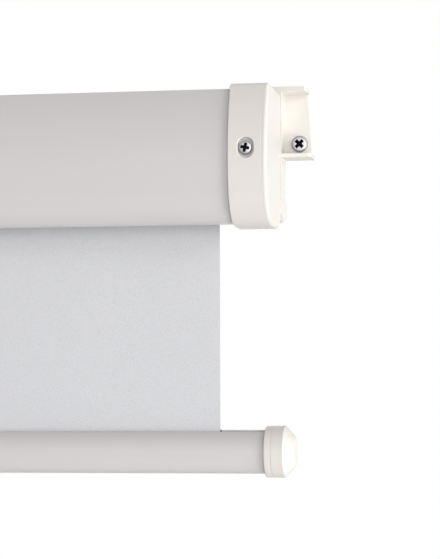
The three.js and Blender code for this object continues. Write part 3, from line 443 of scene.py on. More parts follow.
def spangledTube():
    # hot-dip galvanised steel: flat crystals a few millimetres wide, each with its own grey and gloss
    s = {"light": "#b4b8bc", "dark": "#9a9fa4", "crystal": 7, "roughness": (0.34, 0.52)}
    material, tree = newMaterial("galvanisedSteel", {"Metallic": 1.0})
    place = {"Vector": addNode(tree, "ShaderNodeTexCoord").outputs["Object"]}
    crystals = addNode(tree, "ShaderNodeTexVoronoi", {"Scale": sizeToScale(s["crystal"])}, place)
    grey = addNode(tree, "ShaderNodeRGBToBW", {}, {"Color": crystals.outputs["Color"]}).outputs[0]
    colours = {"data_type": "RGBA", 6: linear(s["light"]), 7: linear(s["dark"])}
    colour = addNode(tree, "ShaderNodeMix", colours, {0: grey})
    ends = {"To Min": s["roughness"][0], "To Max": s["roughness"][1]}
    gloss = addNode(tree, "ShaderNodeMapRange", ends, {"Value": grey})
    return dressed(material, {"Base Color": colour.outputs[2], "Roughness": gloss.outputs[0]})


def castNylon(name, light, dark, roughness):
    # a dull engineering plastic with a faint cloudiness
    s = {"cloud": 6, "cloudHeight": 0.004}
    material, tree = newMaterial(name, {"Roughness": roughness, "IOR": 1.53})
    place = {"Vector": addNode(tree, "ShaderNodeTexCoord").outputs["Object"]}
    cloud = addNode(tree, "ShaderNodeTexNoise", {"Scale": sizeToScale(s["cloud"]), "Detail": 4}, place)
    colours = {"data_type": "RGBA", 6: linear(light), 7: linear(dark)}
    colour = addNode(tree, "ShaderNodeMix", colours, {0: cloud.outputs[0]})
    height = {"Strength": 1, "Distance": s["cloudHeight"] * mm}
    bump = addNode(tree, "ShaderNodeBump", height, {"Height": cloud.outputs[0]})
    return dressed(material, {"Base Color": colour.outputs[2], "Normal": bump.outputs[0]})


finishes = {
    "paint": powderCoat(),
    "abs": mouldedAbs("mouldedAbs", "#dedad5", "#dad5d1"),
    # painted light: a slightly lighter, less warm copy of the cap's ABS, making up for the shade in the
    # bracket's corners and the warm light bounced between its walls
    "bracket": mouldedAbs("bracketAbs", "#dfdcd6", "#dbd8d2"),
    "cloth": screenCloth(),
    "zinc": metal("zincPlatedSteel", "#bfbec1", "#a6a5a9", (0.3, 0.44), 0.5, 0.003),
    # painted reflection: a darker, duller copy of the plated zinc for the head's flank, standing for the dark
    # surroundings it would reflect
    "flankShade": metal("flankShadeZinc", "#a9a8ab", "#959498", (0.42, 0.55), 0.4, 0.004),
    "steel": metal("drawnSteel", "#a3a5aa", "#85878d", (0.3, 0.46), 1.2, 0.003, (0.15, 1, 1)),
    # painted shade: a near-black copy of the plated steel, put on the driver's recess of each screw to stand
    # for the shadow inside it
    "recessShade": metal("recessShadeSteel", "#222225", "#121214", (0.5, 0.7), 0.5, 0.002),
    "tube": spangledTube(),
    "nylon": castNylon("naturalNylon", "#e9e5da", "#dfdacd", 0.5),
    "spline": castNylon("softPvcCord", "#1a1a1c", "#121214", 0.55),
}
print("materials made:", len(finishes))

# Sizes that the frame gives, in millimetres
capLow, capHigh = boxOf("end_cap_right")
casingLow, casingHigh = boxOf("casing")
capInner, capOuter = capLow.x, capHigh.x
capFront, capBack = -capLow.y, -capHigh.y
capBottom, capTop = capLow.z, capHigh.z
casingInset = capFront + casingLow.y  # how far the casing lies inside the cap's outline

# Housing section, the outline that the caps and the casing share
section = {
    "frontRadius": 93,
    "bulgeHeight": -13,
    "topRadius": 3,
    "bottomRadius": 24,
    "backRadius": 10.5,
    "frontSteps": 36,
    "bottomSteps": 28,
    "topSteps": 10,
    "backSteps": 12,
    "leastRadius": 0.15,
}
frontCentre = (capFront - section["frontRadius"], section["bulgeHeight"])


def cornerAt(height, radius):
    reach = section["frontRadius"] - radius
    rise = height - section["bulgeHeight"]
    depth = frontCentre[0] + math.sqrt(reach * reach - rise * rise)
    return (depth, height), math.atan2(rise, depth - frontCentre[0])


def frontLine(inset):  # from the bottom, round the front, to the top
    s = section
    low, lowTurn = cornerAt(capBottom + s["bottomRadius"], s["bottomRadius"])
    high, highTurn = cornerAt(capTop - s["topRadius"], s["topRadius"])
    radius = max(s["topRadius"] - inset, s["leastRadius"])
    drop = radius - (s["topRadius"] - inset)
    highCentre = (high[0] - drop, high[1] - drop)
    front = arcPoints(frontCentre, s["frontRadius"] - inset, lowTurn, highTurn, s["frontSteps"])
    return [
        *arcPoints(low, s["bottomRadius"] - inset, -math.pi / 2, lowTurn, s["bottomSteps"]),
        *front[1:-1],
        *arcPoints(highCentre, radius, highTurn, math.pi / 2, s["topSteps"]),
    ]


def housingOutline(inset, back):
    radius = section["backRadius"] - inset
    centre = (back + radius, capBottom + section["backRadius"])
    foot = arcPoints(centre, radius, math.pi, math.pi * 1.5, section["backSteps"])
    return [*frontLine(inset), (back, capTop - inset), *foot]


# End cap's values, which the casing's notch shares
endCap = {
    "edgeRadius": 1.9,
    "edgeSteps": 10,
    "rimRadius": 0.5,
    "rimSteps": 4,
    "topRimRadius": 1.9,  # the same edge along the top, where it is rounder
    "topRimSteps": 8,
    "creaseFromSide": 3.3,  # a fine line round the outside, left by the mould
    "creaseWidth": 0.5,
    "creaseDepth": 0.2,
    "sideWall": 2.5,
    "deepWall": 3.4,
    "seatGap": 0.3,
    "seatDepth": 6.6,
    "overrun": 6,
    "backOpeningLow": -39,
    "backOpeningDepth": 46,
    "recessRadius": 4.45,
    "recessStretch": 2.7,
    "recessOutward": 0.3,  # from the screw's axis to the recess's middle
    "recessDepth": 3.1,
    "recessEdge": 0.7,
    "recessEdgeSteps": 6,
    "slotSteps": 32,
    "screwFloor": 2,
    "bossWall": 1.6,
    "holeRadius": 2.1,
    "holeSteps": 32,
    "ribHeights": (14, -34),
    "ribThickness": 1.5,
    "ribFrontMargin": 9,
    "ribStart": 649.2,
}


def frontDrop(height):  # how far the curved front lies behind its foremost line
    reach, rise = section["frontRadius"], height - section["bulgeHeight"]
    return reach - math.sqrt(reach * reach - rise * rise)


def screwSlot(profile, x):
    # upright slots of (radius, depth) corners, joined; a third value makes one follow the curved front
    half, steps = endCap["recessStretch"] / 2, endCap["slotSteps"]
    rings = []
    for radius, depth, follow in profile:
        outline = [
            *arcPoints((x, screwHeight + half), radius, 0, math.pi, steps),
            *arcPoints((x, screwHeight - half), radius, math.pi, math.pi * 2, steps),
        ]
        rings.append([(a, follow * frontDrop(b) - depth, b) for a, b in outline])
    return loft(rings)


# Casing
casing = {
    "wall": 1.3,
    "backRadius": 4,
    "backSteps": 8,
    "lipRadius": 1.5,
    "lipSteps": 12,
    "fabricToLip": 11,
    "rearLipHeight": -42,
    "rearLipReturn": 3,
    "bossRoom": 6.55,  # radius of the notch for the cap's screw boss
    "bossRoomDepth": 5.4,
    "settled": 0.4,  # how much lower than the frame's it lies at the top
    "settledFoot": 0.6,  # and at the foot
}
fabricDepth = middleOf("screen_fabric")[1]
screwX, screwHeight = middleOf("cap_screw_right")[::2]


def settled(outline):  # let down a little, the more the further from its middle
    middle, lowered = section["bulgeHeight"], []
    for depth, height in outline:
        end, drop = (capTop, casing["settled"]) if height > middle else (capBottom, casing["settledFoot"])
        lowered.append((depth, height - drop * ((height - middle) / (end - middle)) ** 2))
    return lowered


def makeCasing():
    s = casing
    back, wall = -casingHigh.y, s["wall"]

    def skin(inset, backDepth, radius):
        centre = (backDepth + radius, capTop - inset - radius)
        return settled([*frontLine(inset), *arcPoints(centre, radius, math.pi / 2, math.pi, s["backSteps"])])

    outer = skin(casingInset, back, s["backRadius"])
    inner = skin(casingInset + wall, back + wall, s["backRadius"] - wall)
    bottom = min(height for depth, height in outer)
    foot = s["rearLipHeight"]
    rearFoot = [
        (back, foot),
        (back + s["rearLipReturn"], foot),
        (back + s["rearLipReturn"], foot + wall),
        (back + wall, foot + wall),
    ]
    lipCentre = (fabricDepth + s["fabricToLip"] + s["lipRadius"], bottom + s["lipRadius"])
    bead = arcPoints(lipCentre, s["lipRadius"], math.pi * 0.5, math.pi * 1.5, s["lipSteps"])
    beadInner = (bead[0][0] + s["lipRadius"], bottom + wall)
    outline = [*outer, *rearFoot, *inner[::-1], beadInner, *bead]
    middle = screwX + endCap["recessOutward"]
    room = [(s["bossRoom"], capFront - s["bossRoomDepth"], 0), (s["bossRoom"], capFront, 0)]
    rooms = [screwSlot(room, side * middle) for side in (1, -1)]
    mesh = cut(alongX([outline], casingLow.x, casingHigh.x), *rooms)
    finished(mesh, "casingShell", ["paint"], "housing", "casing")


makeCasing()
print("casing made")


# End caps
def quarterRound(radius, faceX, direction, steps):  # (x, inset) along a rounded edge that ends on the face
    turns = [i / steps * math.pi / 2 for i in range(steps + 1)]
    return [(faceX - direction * radius * (1 - math.sin(a)), radius * (1 - math.cos(a))) for a in turns]


def capShell():
    s = endCap
    crease = capOuter - s["creaseFromSide"]
    half = s["creaseWidth"] / 2
    reach, steps = s["topRimRadius"], s["topRimSteps"]

    def outlineAt(x, inset):
        away = max(0, capInner + reach - x)
        roof = capTop - reach + math.sqrt(reach * reach - away * away)
        return [(depth, min(height, roof)) for depth, height in housingOutline(inset, capBack)]

    path = [
        *quarterRound(s["rimRadius"], capInner, -1, s["rimSteps"])[::-1],
        *[(capInner + s["rimRadius"] + (reach - s["rimRadius"]) * i / steps, 0) for i in range(1, steps + 1)],
        (crease - half * 2, 0),
        (crease - half, 0),
        (crease, s["creaseDepth"]),
        (crease + half, 0),
        *quarterRound(s["edgeRadius"], capOuter, 1, s["edgeSteps"]),
        (capOuter, s["edgeRadius"] + half),
    ]
    return loft([[(x, -depth, height) for depth, height in outlineAt(x, inset)] for x, inset in path])


def capHollows():  # the casing's seat, the room behind it, and the opening in the back
    s = endCap
    start, end = capInner - s["overrun"], capOuter - s["sideWall"]
    seat = settled(housingOutline(casingInset - s["seatGap"], capBack))
    deep = housingOutline(s["deepWall"], capBack + s["deepWall"])
    roof = capTop - s["deepWall"]
    return [
        alongX([seat], start, capInner + s["seatDepth"]),
        alongX([deep], start, end),
        box(start, end, capBack - s["overrun"], s["backOpeningDepth"], s["backOpeningLow"], roof),
    ]


def capRibs():
    s = endCap
    back, front, end = capBack + s["deepWall"], capFront - s["ribFrontMargin"], capOuter - s["sideWall"] / 2
    half = s["ribThickness"] / 2
    return [box(s["ribStart"], end, back, front, height - half, height + half) for height in s["ribHeights"]]


def makeEndCap(side, word):
    s = endCap
    floor = capFront - s["recessDepth"]
    radius, edge, middle = s["recessRadius"], s["recessEdge"], screwX + s["recessOutward"]
    bossRadius = radius + s["bossWall"]
    boss = screwSlot([(bossRadius, floor - s["screwFloor"], 0), (bossRadius, capFront, 0)], middle)
    edgeCurve = [i / s["recessEdgeSteps"] * math.pi / 2 for i in range(s["recessEdgeSteps"] + 1)]
    mouth = [(radius + edge * (1 - math.cos(a)), capFront - edge * (1 - math.sin(a)), 1) for a in edgeCurve]
    recess = screwSlot([(radius, floor, 0), *mouth, (radius + edge, capFront + s["overrun"], 0)], middle)
    bore = [(0, capBack), (s["holeRadius"], capBack), (s["holeRadius"], capFront), (0, capFront)]
    hole = moved(turned(bore, s["holeSteps"]), atPlace(screwX, 0, screwHeight, outOfWall))
    hollow = cut(capShell(), *capHollows())
    inside = common(join(boss, *capRibs()), capShell())
    mesh = mirrored(cut(join(hollow, inside), recess, hole), side)
    node = f"end_cap_{word.lower()}"
    finished(mesh, f"endCap{word}", ["abs"], "housing", node)


for side, word in ((1, "Right"), (-1, "Left")):
    makeEndCap(side, word)
print("end caps made")

# Wall brackets and other mouldings that keep the frame's shape, with their edges rounded
softEdges = {
    "wallBracket": {
        "node": "wall_bracket", "radius": 0.45, "segments": 3, "finish": "bracket", "slot": "ivory_moulding",
    },
    "rollerPlate": {
        "node": "roller_plate", "radius": 0.25, "segments": 2, "finish": "nylon", "slot": "natural_nylon",
    },
}
for name, s in softEdges.items():
    for word in ("Right", "Left"):
        node = f"{s['node']}_{word.lower()}"
        mesh = rounded(copyOfNode(node), s["radius"], s["segments"])
        finished(mesh, name + word, [s["finish"]], "housing", node)
print("brackets made")

# Screws: a pan head with a cross recess, and a shank whose thread follows a helix
screwKinds = {
    "wallScrew": {
        "node": "wall_screw", "body": "housing", "axis": "outOfWall",
        "head": 5, "headHeight": 2.9, "cross": 3.1, "crossTurn": 45,
        "shank": 2.4, "core": 1.75, "length": 30, "point": 5, "pitch": 1.8, "plain": 1,
    },
    "capScrew": {
        "node": "cap_screw", "body": "housing", "axis": "outOfWall",
        "head": 4, "headHeight": 2.6, "cross": 2.75, "crossTurn": -12,
        "shank": 1.95, "core": 1.4, "length": 14, "point": 1.5, "pitch": 1.3, "plain": 0.5,
    },
    "handleScrew": {
        "node": "handle_screw", "body": "bar", "axis": "upwards",
        "head": 2.8, "headHeight": 1.8, "cross": 1.75, "crossTurn": 45,
        "shank": 1.4, "core": 1.0, "length": 9, "point": 1.8, "pitch": 1.0, "plain": 0.4,
    },
}
crossShares = {  # of the cross's reach
    "foot": 0.48,
    "width": 0.33,
    "footWidth": 0.2,
    "cone": 0.48,
    "over": 1.1,
}
# dark: how far under the head's face, in millimetres, the recess's painted shade begins
crossDepths = {"top": 1.2, "depth": 0.8, "coneBelow": 0.12, "dark": 0.06}  # of the head's height, dark in mm
headShares = {
    "edge": 0.3,  # of the head's height
    "radius": 0.98,  # of the head's radius, like the next two
    "foot": 0.97,
    # flank: beyond this share of the radius, the head's faces take the painted reflection
    "flank": 0.8,
    "squareness": 0.38,  # a power, where 1 would make the dome round
    "domeSteps": 14,
    "turnSteps": 64,
    "coneSteps": 24,
    "skin": 0.01,  # millimetres over the seat
}
threadSettings = {"sides": 24, "ridge": 0.6, "ridgeSides": 4}  # the ridge as a share of its rise


def crossTool(s):
    shares, depths, reach = crossShares, crossDepths, s["cross"]
    top, bottom = s["headHeight"] * depths["top"], s["headHeight"] * (1 - depths["depth"])
    over = shares["over"]
    levels = ((bottom, shares["foot"], shares["footWidth"]), (top, over, shares["width"] * over))
    quarters = ((-1, -1), (1, -1), (1, 1), (-1, 1))
    arms = []
    for turn in (s["crossTurn"], s["crossTurn"] - 90):
        arm = loft([[(x, a * reach * far, b * reach * wide) for a, b in quarters] for x, far, wide in levels])
        arms.append(moved(arm, Matrix.Rotation(turn * degree, 4, "X")))
    below = bottom - s["headHeight"] * depths["coneBelow"]
    cone = turned([(0, below), (reach * shares["cone"], top), (0, top)], headShares["coneSteps"])
    return [*arms, cone]


def headMesh(s):  # turned about the X axis, with the seat at x = 0
    shares = headShares
    edge, power = shares["edge"] * s["headHeight"], shares["squareness"]
    radius, rise = s["head"] * shares["radius"], s["headHeight"] - edge
    turns = [i / shares["domeSteps"] * math.pi / 2 for i in range(shares["domeSteps"])]
    dome = [(radius * math.cos(a) ** power, edge + rise * math.sin(a) ** power) for a in turns]
    profile = [(0, 0), (s["head"] * shares["foot"], 0), *dome, (0, s["headHeight"])]
    return cut(turned(profile, shares["turnSteps"]), *crossTool(s))


def threadTree():
    # the shank as a core and a ridge on a helix, added to the head, all behind the seat
    s = threadSettings
    floats = ("Core Radius", "Ridge Radius", "Length", "Point", "Pitch", "Plain")
    sockets = {"Geometry": ["Head"], "Float": floats, "Material": ["Finish"]}
    tree, given = newTree("threadedShank", sockets, "Screw")
    inner, outer = given["Core Radius"], given["Ridge Radius"]

    def shifted(geometry, z):  # along the shank
        place = addNode(tree, "ShaderNodeCombineXYZ", {}, {"Z": z})
        links = {"Geometry": geometry, "Translation": place.outputs[0]}
        return addNode(tree, "GeometryNodeTransform", {}, links)

    less, halved = {"operation": "SUBTRACT"}, {"operation": "MULTIPLY", 1: 0.5}
    straight = addNode(tree, "ShaderNodeMath", less, {0: given["Length"], 1: given["Point"]}).outputs[0]
    straightHalf = addNode(tree, "ShaderNodeMath", halved, {0: straight}).outputs[0]
    coreLinks = {"Radius": inner, "Depth": straight}
    core = addNode(tree, "GeometryNodeMeshCylinder", {"Vertices": s["sides"]}, coreLinks)
    tipLinks = {"Radius Bottom": inner, "Depth": given["Point"]}
    tip = addNode(tree, "GeometryNodeMeshCone", {"Vertices": s["sides"], "Radius Top": 0.0}, tipLinks)
    ridgeLength = addNode(tree, "ShaderNodeMath", less, {0: straight, 1: given["Plain"]}).outputs[0]
    both = addNode(tree, "ShaderNodeMath", {"operation": "ADD"}, {0: inner, 1: outer})
    ridgeMiddle = addNode(tree, "ShaderNodeMath", halved, {0: both.outputs[0]}).outputs[0]
    step = addNode(tree, "ShaderNodeMath", less, {0: outer, 1: inner})
    ridgeShare = {"operation": "MULTIPLY", 1: s["ridge"]}
    ridgeHalf = addNode(tree, "ShaderNodeMath", ridgeShare, {0: step.outputs[0]})
    pitches = {0: ridgeLength, 1: given["Pitch"]}
    ridgeTurns = addNode(tree, "ShaderNodeMath", {"operation": "DIVIDE"}, pitches)
    helix = addNode(tree, "GeometryNodeCurveSpiral", {"Resolution": s["sides"]}, {
        "Rotations": ridgeTurns.outputs[0], "Height": ridgeLength,
        "Start Radius": ridgeMiddle, "End Radius": ridgeMiddle,
    })
    normals = addNode(tree, "GeometryNodeSetCurveNormal", {"mode": "Z_UP"}, {"Curve": helix.outputs[0]})
    outlineSides, outlineRadius = {"Resolution": s["ridgeSides"]}, {"Radius": ridgeHalf.outputs[0]}
    outline = addNode(tree, "GeometryNodeCurvePrimitiveCircle", outlineSides, outlineRadius)
    sweep = {"Curve": normals.outputs[0], "Profile Curve": outline.outputs[0]}
    ridge = addNode(tree, "GeometryNodeCurveToMesh", {"Fill Caps": True}, sweep)
    parts = [
        shifted(core.outputs["Mesh"], straightHalf),
        shifted(tip.outputs["Mesh"], straight),
        shifted(ridge.outputs[0], given["Plain"]),
    ]
    shank = addNode(tree, "GeometryNodeJoinGeometry")
    for part in parts:
        tree.links.new(part.outputs[0], shank.inputs[0])
    backwards = {"Rotation": (0, -math.pi / 2, 0)}
    behind = addNode(tree, "GeometryNodeTransform", backwards, {"Geometry": shank.outputs[0]})
    screw = addNode(tree, "GeometryNodeJoinGeometry")
    tree.links.new(given["Head"], screw.inputs[0])
    tree.links.new(behind.outputs[0], screw.inputs[0])
    endTree(tree, screw.outputs[0], given["Finish"])
    return tree


screwTree = threadTree()


def screwMesh(s):  # its faces are numbered: 0 the plated ones, 1 the driver's recess, 2 the head's flank
    mesh = grown(headMesh(s), screwTree, {
        "Core Radius": s["core"], "Ridge Radius": s["shank"], "Length": s["length"], "Point": s["point"],
        "Pitch": s["pitch"], "Plain": s["plain"], "Finish": finishes["zinc"],
    })
    shares, wide = headShares, s["cross"] * crossShares["over"]
    edge, power = shares["edge"] * s["headHeight"], 2 / shares["squareness"]
    for face in mesh.polygons:
        reach, along = math.hypot(face.center.y, face.center.z), face.center.x
        away = reach / (s["head"] * shares["radius"])
        rise = (1 - min(away, 1) ** power) ** (1 / power)
        surface = edge + (s["headHeight"] - edge) * rise
        face.material_index = 0
        # the recess below that depth takes the painted shade
        if reach < wide and shares["skin"] < along < surface - crossDepths["dark"]:
            face.material_index = 1
        # the head's outer flank takes the darker painted reflection
        elif away > shares["flank"] and along > 0:
            face.material_index = 2
    return mesh


def makeScrew(kind, word):
    s = screwKinds[kind]
    node = f"{s['node']}_{word.lower()}"
    low = boxOf(node)[0]
    x, depth, height = middleOf(node)
    mesh = screwMesh(s)
    if s["axis"] == "upwards":
        mesh.transform(atPlace(x, depth, low.z + s["headHeight"], upwards))
    else:
        mesh.transform(atPlace(x, -low.y - s["headHeight"], height, outOfWall))
    finished(mesh, kind + word, ["zinc", "recessShade", "flankShade"], s["body"], node)


for word in ("Right", "Left"):
    for kind in screwKinds:
        makeScrew(kind, word)
print("screws made")

# Bottom bar: the tube, with its slit and the channel for the spline
tubeLow, tubeHigh = boxOf("bar_tube")
tubeRadius = (tubeHigh.z - tubeLow.z) / 2
barCentre = middleOf("bar_tube")[1:]  # depth and height
barTube = {
    "wall": 1.2,
    "slit": 2.6,
    "channelRadius": 3,
    "channelWall": 1,
    "channelTopWall": 2,
    "steps": 96,
    "channelSteps": 40,
    "pilotRadius": 1.55,
    "pilotSteps": 24,
    "overrun": 2,
}


def makeBarTube():
    s = barTube
    forward = fabricDepth - barCentre[0]
    reach = tubeRadius - s["channelTopWall"] - s["channelRadius"]
    channel = (fabricDepth, barCentre[1] + math.sqrt(reach * reach - forward * forward))
    x0, x1 = tubeLow.x, tubeHigh.x
    over0, over1 = x0 - s["overrun"], x1 + s["overrun"]

    def upFrom(half, start, end, height):  # a bar that stands on the channel's axis, round the fabric
        return box(start, end, fabricDepth - half, fabricDepth + half, channel[1], height)

    def tubeBore(inset):
        return alongX([circle(barCentre, tubeRadius - inset, s["steps"])], x0, x1)

    ring = [circle(barCentre, tubeRadius - inset, s["steps"]) for inset in (0, s["wall"])]
    rail = alongX([circle(channel, s["channelRadius"] + s["channelWall"], s["channelSteps"])], x0, x1)
    neckBlock = upFrom(s["slit"] / 2 + s["channelWall"], x0, x1, tubeHigh.z)
    neck = common(neckBlock, tubeBore(s["wall"] / 2))
    bore = alongX([circle(channel, s["channelRadius"], s["channelSteps"])], over0, over1)
    tools = [bore, upFrom(s["slit"] / 2, over0, over1, tubeHigh.z + s["overrun"])]
    for word in ("right", "left"):
        hole = circle((middleOf(f"handle_screw_{word}")[0], barCentre[0]), s["pilotRadius"], s["pilotSteps"])
        tools.append(upright([hole], tubeLow.z - s["overrun"], barCentre[1] - tubeRadius / 2))
    mesh = cut(join(alongX(ring, x0, x1), rail, neck), *tools)
    finished(mesh, "barTube", ["paint"], "bar", "bar_tube")


makeBarTube()

# Caps of the bottom bar
barCap = {
    "sleeve": 4.4,
    "ring": 6.9,
    "short": 0.5,  # how far the tip stays inside the frame's
    "step": 0.1,  # how much smaller the sleeve is than the ring
    "edge": 0.8,
    "edgeSteps": 8,
    "grooveWidth": 0.5,
    "grooveDepth": 0.14,
    "coneEdge": 0.4,
    "tipRadius": 8.6,
    "tipEdge": 0.4,
    "tubeGap": 0.15,
    "floorGap": 0.3,
    "steps": 96,
}


def roundCorner(before, corner, after, radius, steps):  # an arc that replaces a corner of a profile
    a, b, c = Vector(before), Vector(corner), Vector(after)
    back, ahead = (a - b).normalized(), (c - b).normalized()
    half = back.angle(ahead) / 2
    reach = radius / math.tan(half)
    centre = b + (back + ahead).normalized() * (radius / math.sin(half))
    start, end = b + back * reach - centre, b + ahead * reach - centre
    return [tuple(centre + start.slerp(end, i / steps).normalized() * radius) for i in range(steps + 1)]


def makeBarCap(side, word):
    s = barCap
    low, high = boxOf("bar_end_cap_right")
    inner, tip = low.x, high.x - s["short"]
    radius = (high.z - low.z) / 2
    groove = inner + s["sleeve"]
    cone = groove + s["ring"]
    sleeve = radius - s["step"]
    bore = tubeRadius + s["tubeGap"]
    floor = tubeHigh.x + s["floorGap"]
    profile = [
        (bore, inner),
        *roundCorner((bore, inner), (sleeve, inner), (sleeve, groove), s["edge"], s["edgeSteps"]),
        (sleeve, groove - s["grooveWidth"]),
        (sleeve - s["grooveDepth"], groove - s["grooveWidth"] / 2),
        (radius, groove),
        *roundCorner((radius, groove), (radius, cone), (s["tipRadius"], tip), s["coneEdge"], s["edgeSteps"]),
        *roundCorner((radius, cone), (s["tipRadius"], tip), (0, tip), s["tipEdge"], s["edgeSteps"]),
        (0, tip),
        (0, floor),
        (bore, floor),
    ]
    shape = moved(turned(profile, s["steps"], closed=True), atPlace(0, *barCentre))
    mesh, node = mirrored(meshOf(shape), side), f"bar_end_cap_{word.lower()}"
    finished(mesh, f"barCap{word}", ["abs"], "bar", node)


for side, word in ((1, "Right"), (-1, "Left")):
    makeBarCap(side, word)
print("bar made")

# Pull handle
handle = {
    "saddleHalf": 62,
    "saddleThickness": 2.6,
    "saddleAngle": 96,
    "saddleSteps": 24,
    "saddleRound": 0.7,
    "saddleRoundSteps": 3,
    "topHalf": 48,
    "footHalf": 39,
    "drop": 36,
    "thickness": 13,
    "band": 7.5,
    "outerCorner": 12,
    "innerCorner": 6,
    "roof": 6.6,
    "gap": 0.3,
    "round": 2.6,
    "roundSteps": 5,
    "roundLimit": 60,  # degrees
    "holeRadius": 1.55,
    "holeSteps": 24,
    "holeOver": 2,
    "seatRadius": 2.95,
    "seatSteps": 32,
    "seatOver": 0.15,
    "cornerSteps": 10,
    "roomHalf": 100,  # half the length of the bar's room, which is cut out of the handle
    "roomSteps": 144,
}


def taperedOutline(topHalf, footHalf, top, foot, radius):
    slope, steps = (topHalf - footHalf) / (top - foot), handle["cornerSteps"]
    corners = []
    for side in (1, -1):
        start = Vector((side * (footHalf + slope * radius), foot + radius))
        middle = Vector((side * footHalf, foot))
        end = Vector((side * (footHalf - radius), foot))
        shares = [i / steps for i in range(steps + 1)]
        corners.append([tuple(start * (1 - t) ** 2 + middle * 2 * t * (1 - t) + end * t * t) for t in shares])
    return [(topHalf, top), *corners[0], *corners[1][::-1], (-topHalf, top)]


def makeHandle():
    s = handle
    inner = tubeRadius + s["gap"]
    half, down = s["saddleAngle"] / 2 * degree, -math.pi / 2
    sector = [
        *arcPoints(barCentre, inner, down - half, down + half, s["saddleSteps"]),
        *arcPoints(barCentre, inner + s["saddleThickness"], down + half, down - half, s["saddleSteps"]),
    ]
    saddleBlock = alongX([sector], -s["saddleHalf"], s["saddleHalf"])
    saddle = rounded(saddleBlock, s["saddleRound"], s["saddleRoundSteps"])
    top, band = tubeLow.z, s["band"]
    foot = top - s["drop"]
    outer = taperedOutline(s["topHalf"], s["footHalf"], top, foot, s["outerCorner"])
    openingHalves = s["topHalf"] - band, s["footHalf"] - band
    opening = taperedOutline(*openingHalves, top - s["roof"], foot + band, s["innerCorner"])
    front, back = barCentre[0] + s["thickness"] / 2, barCentre[0] - s["thickness"] / 2
    loop = rounded(towardsWall([outer, opening], front, back), s["round"], s["roundSteps"], s["roundLimit"])
    reach = s["roomHalf"]
    room = turned([(0, -reach), (inner, -reach), (inner, reach), (0, reach)], s["roomSteps"])
    tools = [moved(room, atPlace(0, *barCentre))]
    for word in ("right", "left"):
        node = f"handle_screw_{word}"
        middle = (middleOf(node)[0], barCentre[0])
        seat = boxOf(node)[0].z + screwKinds["handleScrew"]["headHeight"] + s["seatOver"]
        tools.append(upright([circle(middle, s["holeRadius"], s["holeSteps"])], foot, top + s["holeOver"]))
        tools.append(upright([circle(middle, s["seatRadius"], s["seatSteps"])], foot, seat))
    mesh = cut(join(saddle, loop), *tools)
    finished(mesh, "pullHandle", ["abs"], "bar", "pull_handle")


makeHandle()
print("handle made")

# Screen fabric, the part that hangs, and the part that is still wound up
fabric = {
    "thickness": 0.3,
    "stepAcross": 6,
    "stepDown": 4,
    "rise": 0.12,  # how far its gentle waves stand out
    "flare": 0.5,  # how much further out its edges hang at the foot than at the top
    "waveAcross": 260,
    "smallWave": {"share": 0.6, "length": 0.37, "shift": 1.3},  # shares of the wave across, and radians
    "sharp": 40,  # degrees
    "insideBar": 0.5,  # a depth below the bar's top, in millimetres
    "turnSteps": 56,
    "woundGap": 0.05,  # between the tube and the first turn
    "woundShare": 0.92,  # of its thickness, so that the turns stay apart
}


def waveAt(x, down, s):
    turn, small = 2 * math.pi * x / s["waveAcross"], s["smallWave"]
    across = math.sin(turn) + small["share"] * math.sin(turn / small["length"] + small["shift"])
    return s["rise"] * across * math.sin(math.pi * down) ** 2


def hangingMesh(s, low, high):
    width, length = high.x - low.x, high.z - low.z
    across, along = round(width / s["stepAcross"]), round(length / s["stepDown"])
    bm = bmesh.new()
    rows = []
    for k in range(along + 1):
        down = k / along
        out = 1 + s["flare"] * down / (width / 2)
        places = [low.x + width * i / across for i in range(across + 1)]
        z = high.z - length * down
        rows.append([bm.verts.new((x * out, -fabricDepth + waveAt(x, down, s), z)) for x in places])
    for above, below in zip(rows, rows[1:]):
        for i in range(across):
            bm.faces.new((above[i], below[i], below[i + 1], above[i + 1]))
    return thickened(bm, s["thickness"])


def makeHangingFabric():
    s, name = fabric, "screenFabric"
    low, high = boxOf("screen_fabric")
    mesh = hangingMesh(s, low, high)
    mesh.transform(Matrix.Scale(mm, 4))
    mesh.name = name
    mesh.materials.append(finishes["cloth"])
    for face in mesh.polygons:
        face.use_smooth = True
    mesh.set_sharp_from_angle(angle=s["sharp"] * degree)
    piece = working(mesh, name)
    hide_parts("screen_fabric")
    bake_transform(piece)


def woundTree():
    # one strip on a spiral, with the turns lying on each other
    floats = ("Turns", "Inner Radius", "Outer Radius", "Width")
    sockets = {"Geometry": ["Geometry"], "Int": ["Steps"], "Float": floats, "Material": ["Finish"]}
    tree, given = newTree("woundStrip", sockets, "Roll")
    spiral = addNode(tree, "GeometryNodeCurveSpiral", {"Height": 0.0}, {
        "Resolution": given["Steps"], "Rotations": given["Turns"],
        "Start Radius": given["Outer Radius"], "End Radius": given["Inner Radius"],
    })
    normals = addNode(tree, "GeometryNodeSetCurveNormal", {"mode": "Z_UP"}, {"Curve": spiral.outputs[0]})
    halved, minus = {"operation": "MULTIPLY", 1: 0.5}, {"operation": "MULTIPLY", 1: -1.0}
    right = addNode(tree, "ShaderNodeMath", halved, {0: given["Width"]}).outputs[0]
    left = addNode(tree, "ShaderNodeMath", minus, {0: right}).outputs[0]
    leftEnd = addNode(tree, "ShaderNodeCombineXYZ", {}, {"Y": left})
    rightEnd = addNode(tree, "ShaderNodeCombineXYZ", {}, {"Y": right})
    ends = {"Start": leftEnd.outputs[0], "End": rightEnd.outputs[0]}
    line = addNode(tree, "GeometryNodeCurvePrimitiveLine", {}, ends)
    sweep = {"Curve": normals.outputs[0], "Profile Curve": line.outputs[0]}
    strip = addNode(tree, "GeometryNodeCurveToMesh", {}, sweep)
    endTree(tree, strip.outputs[0], given["Finish"])
    return tree


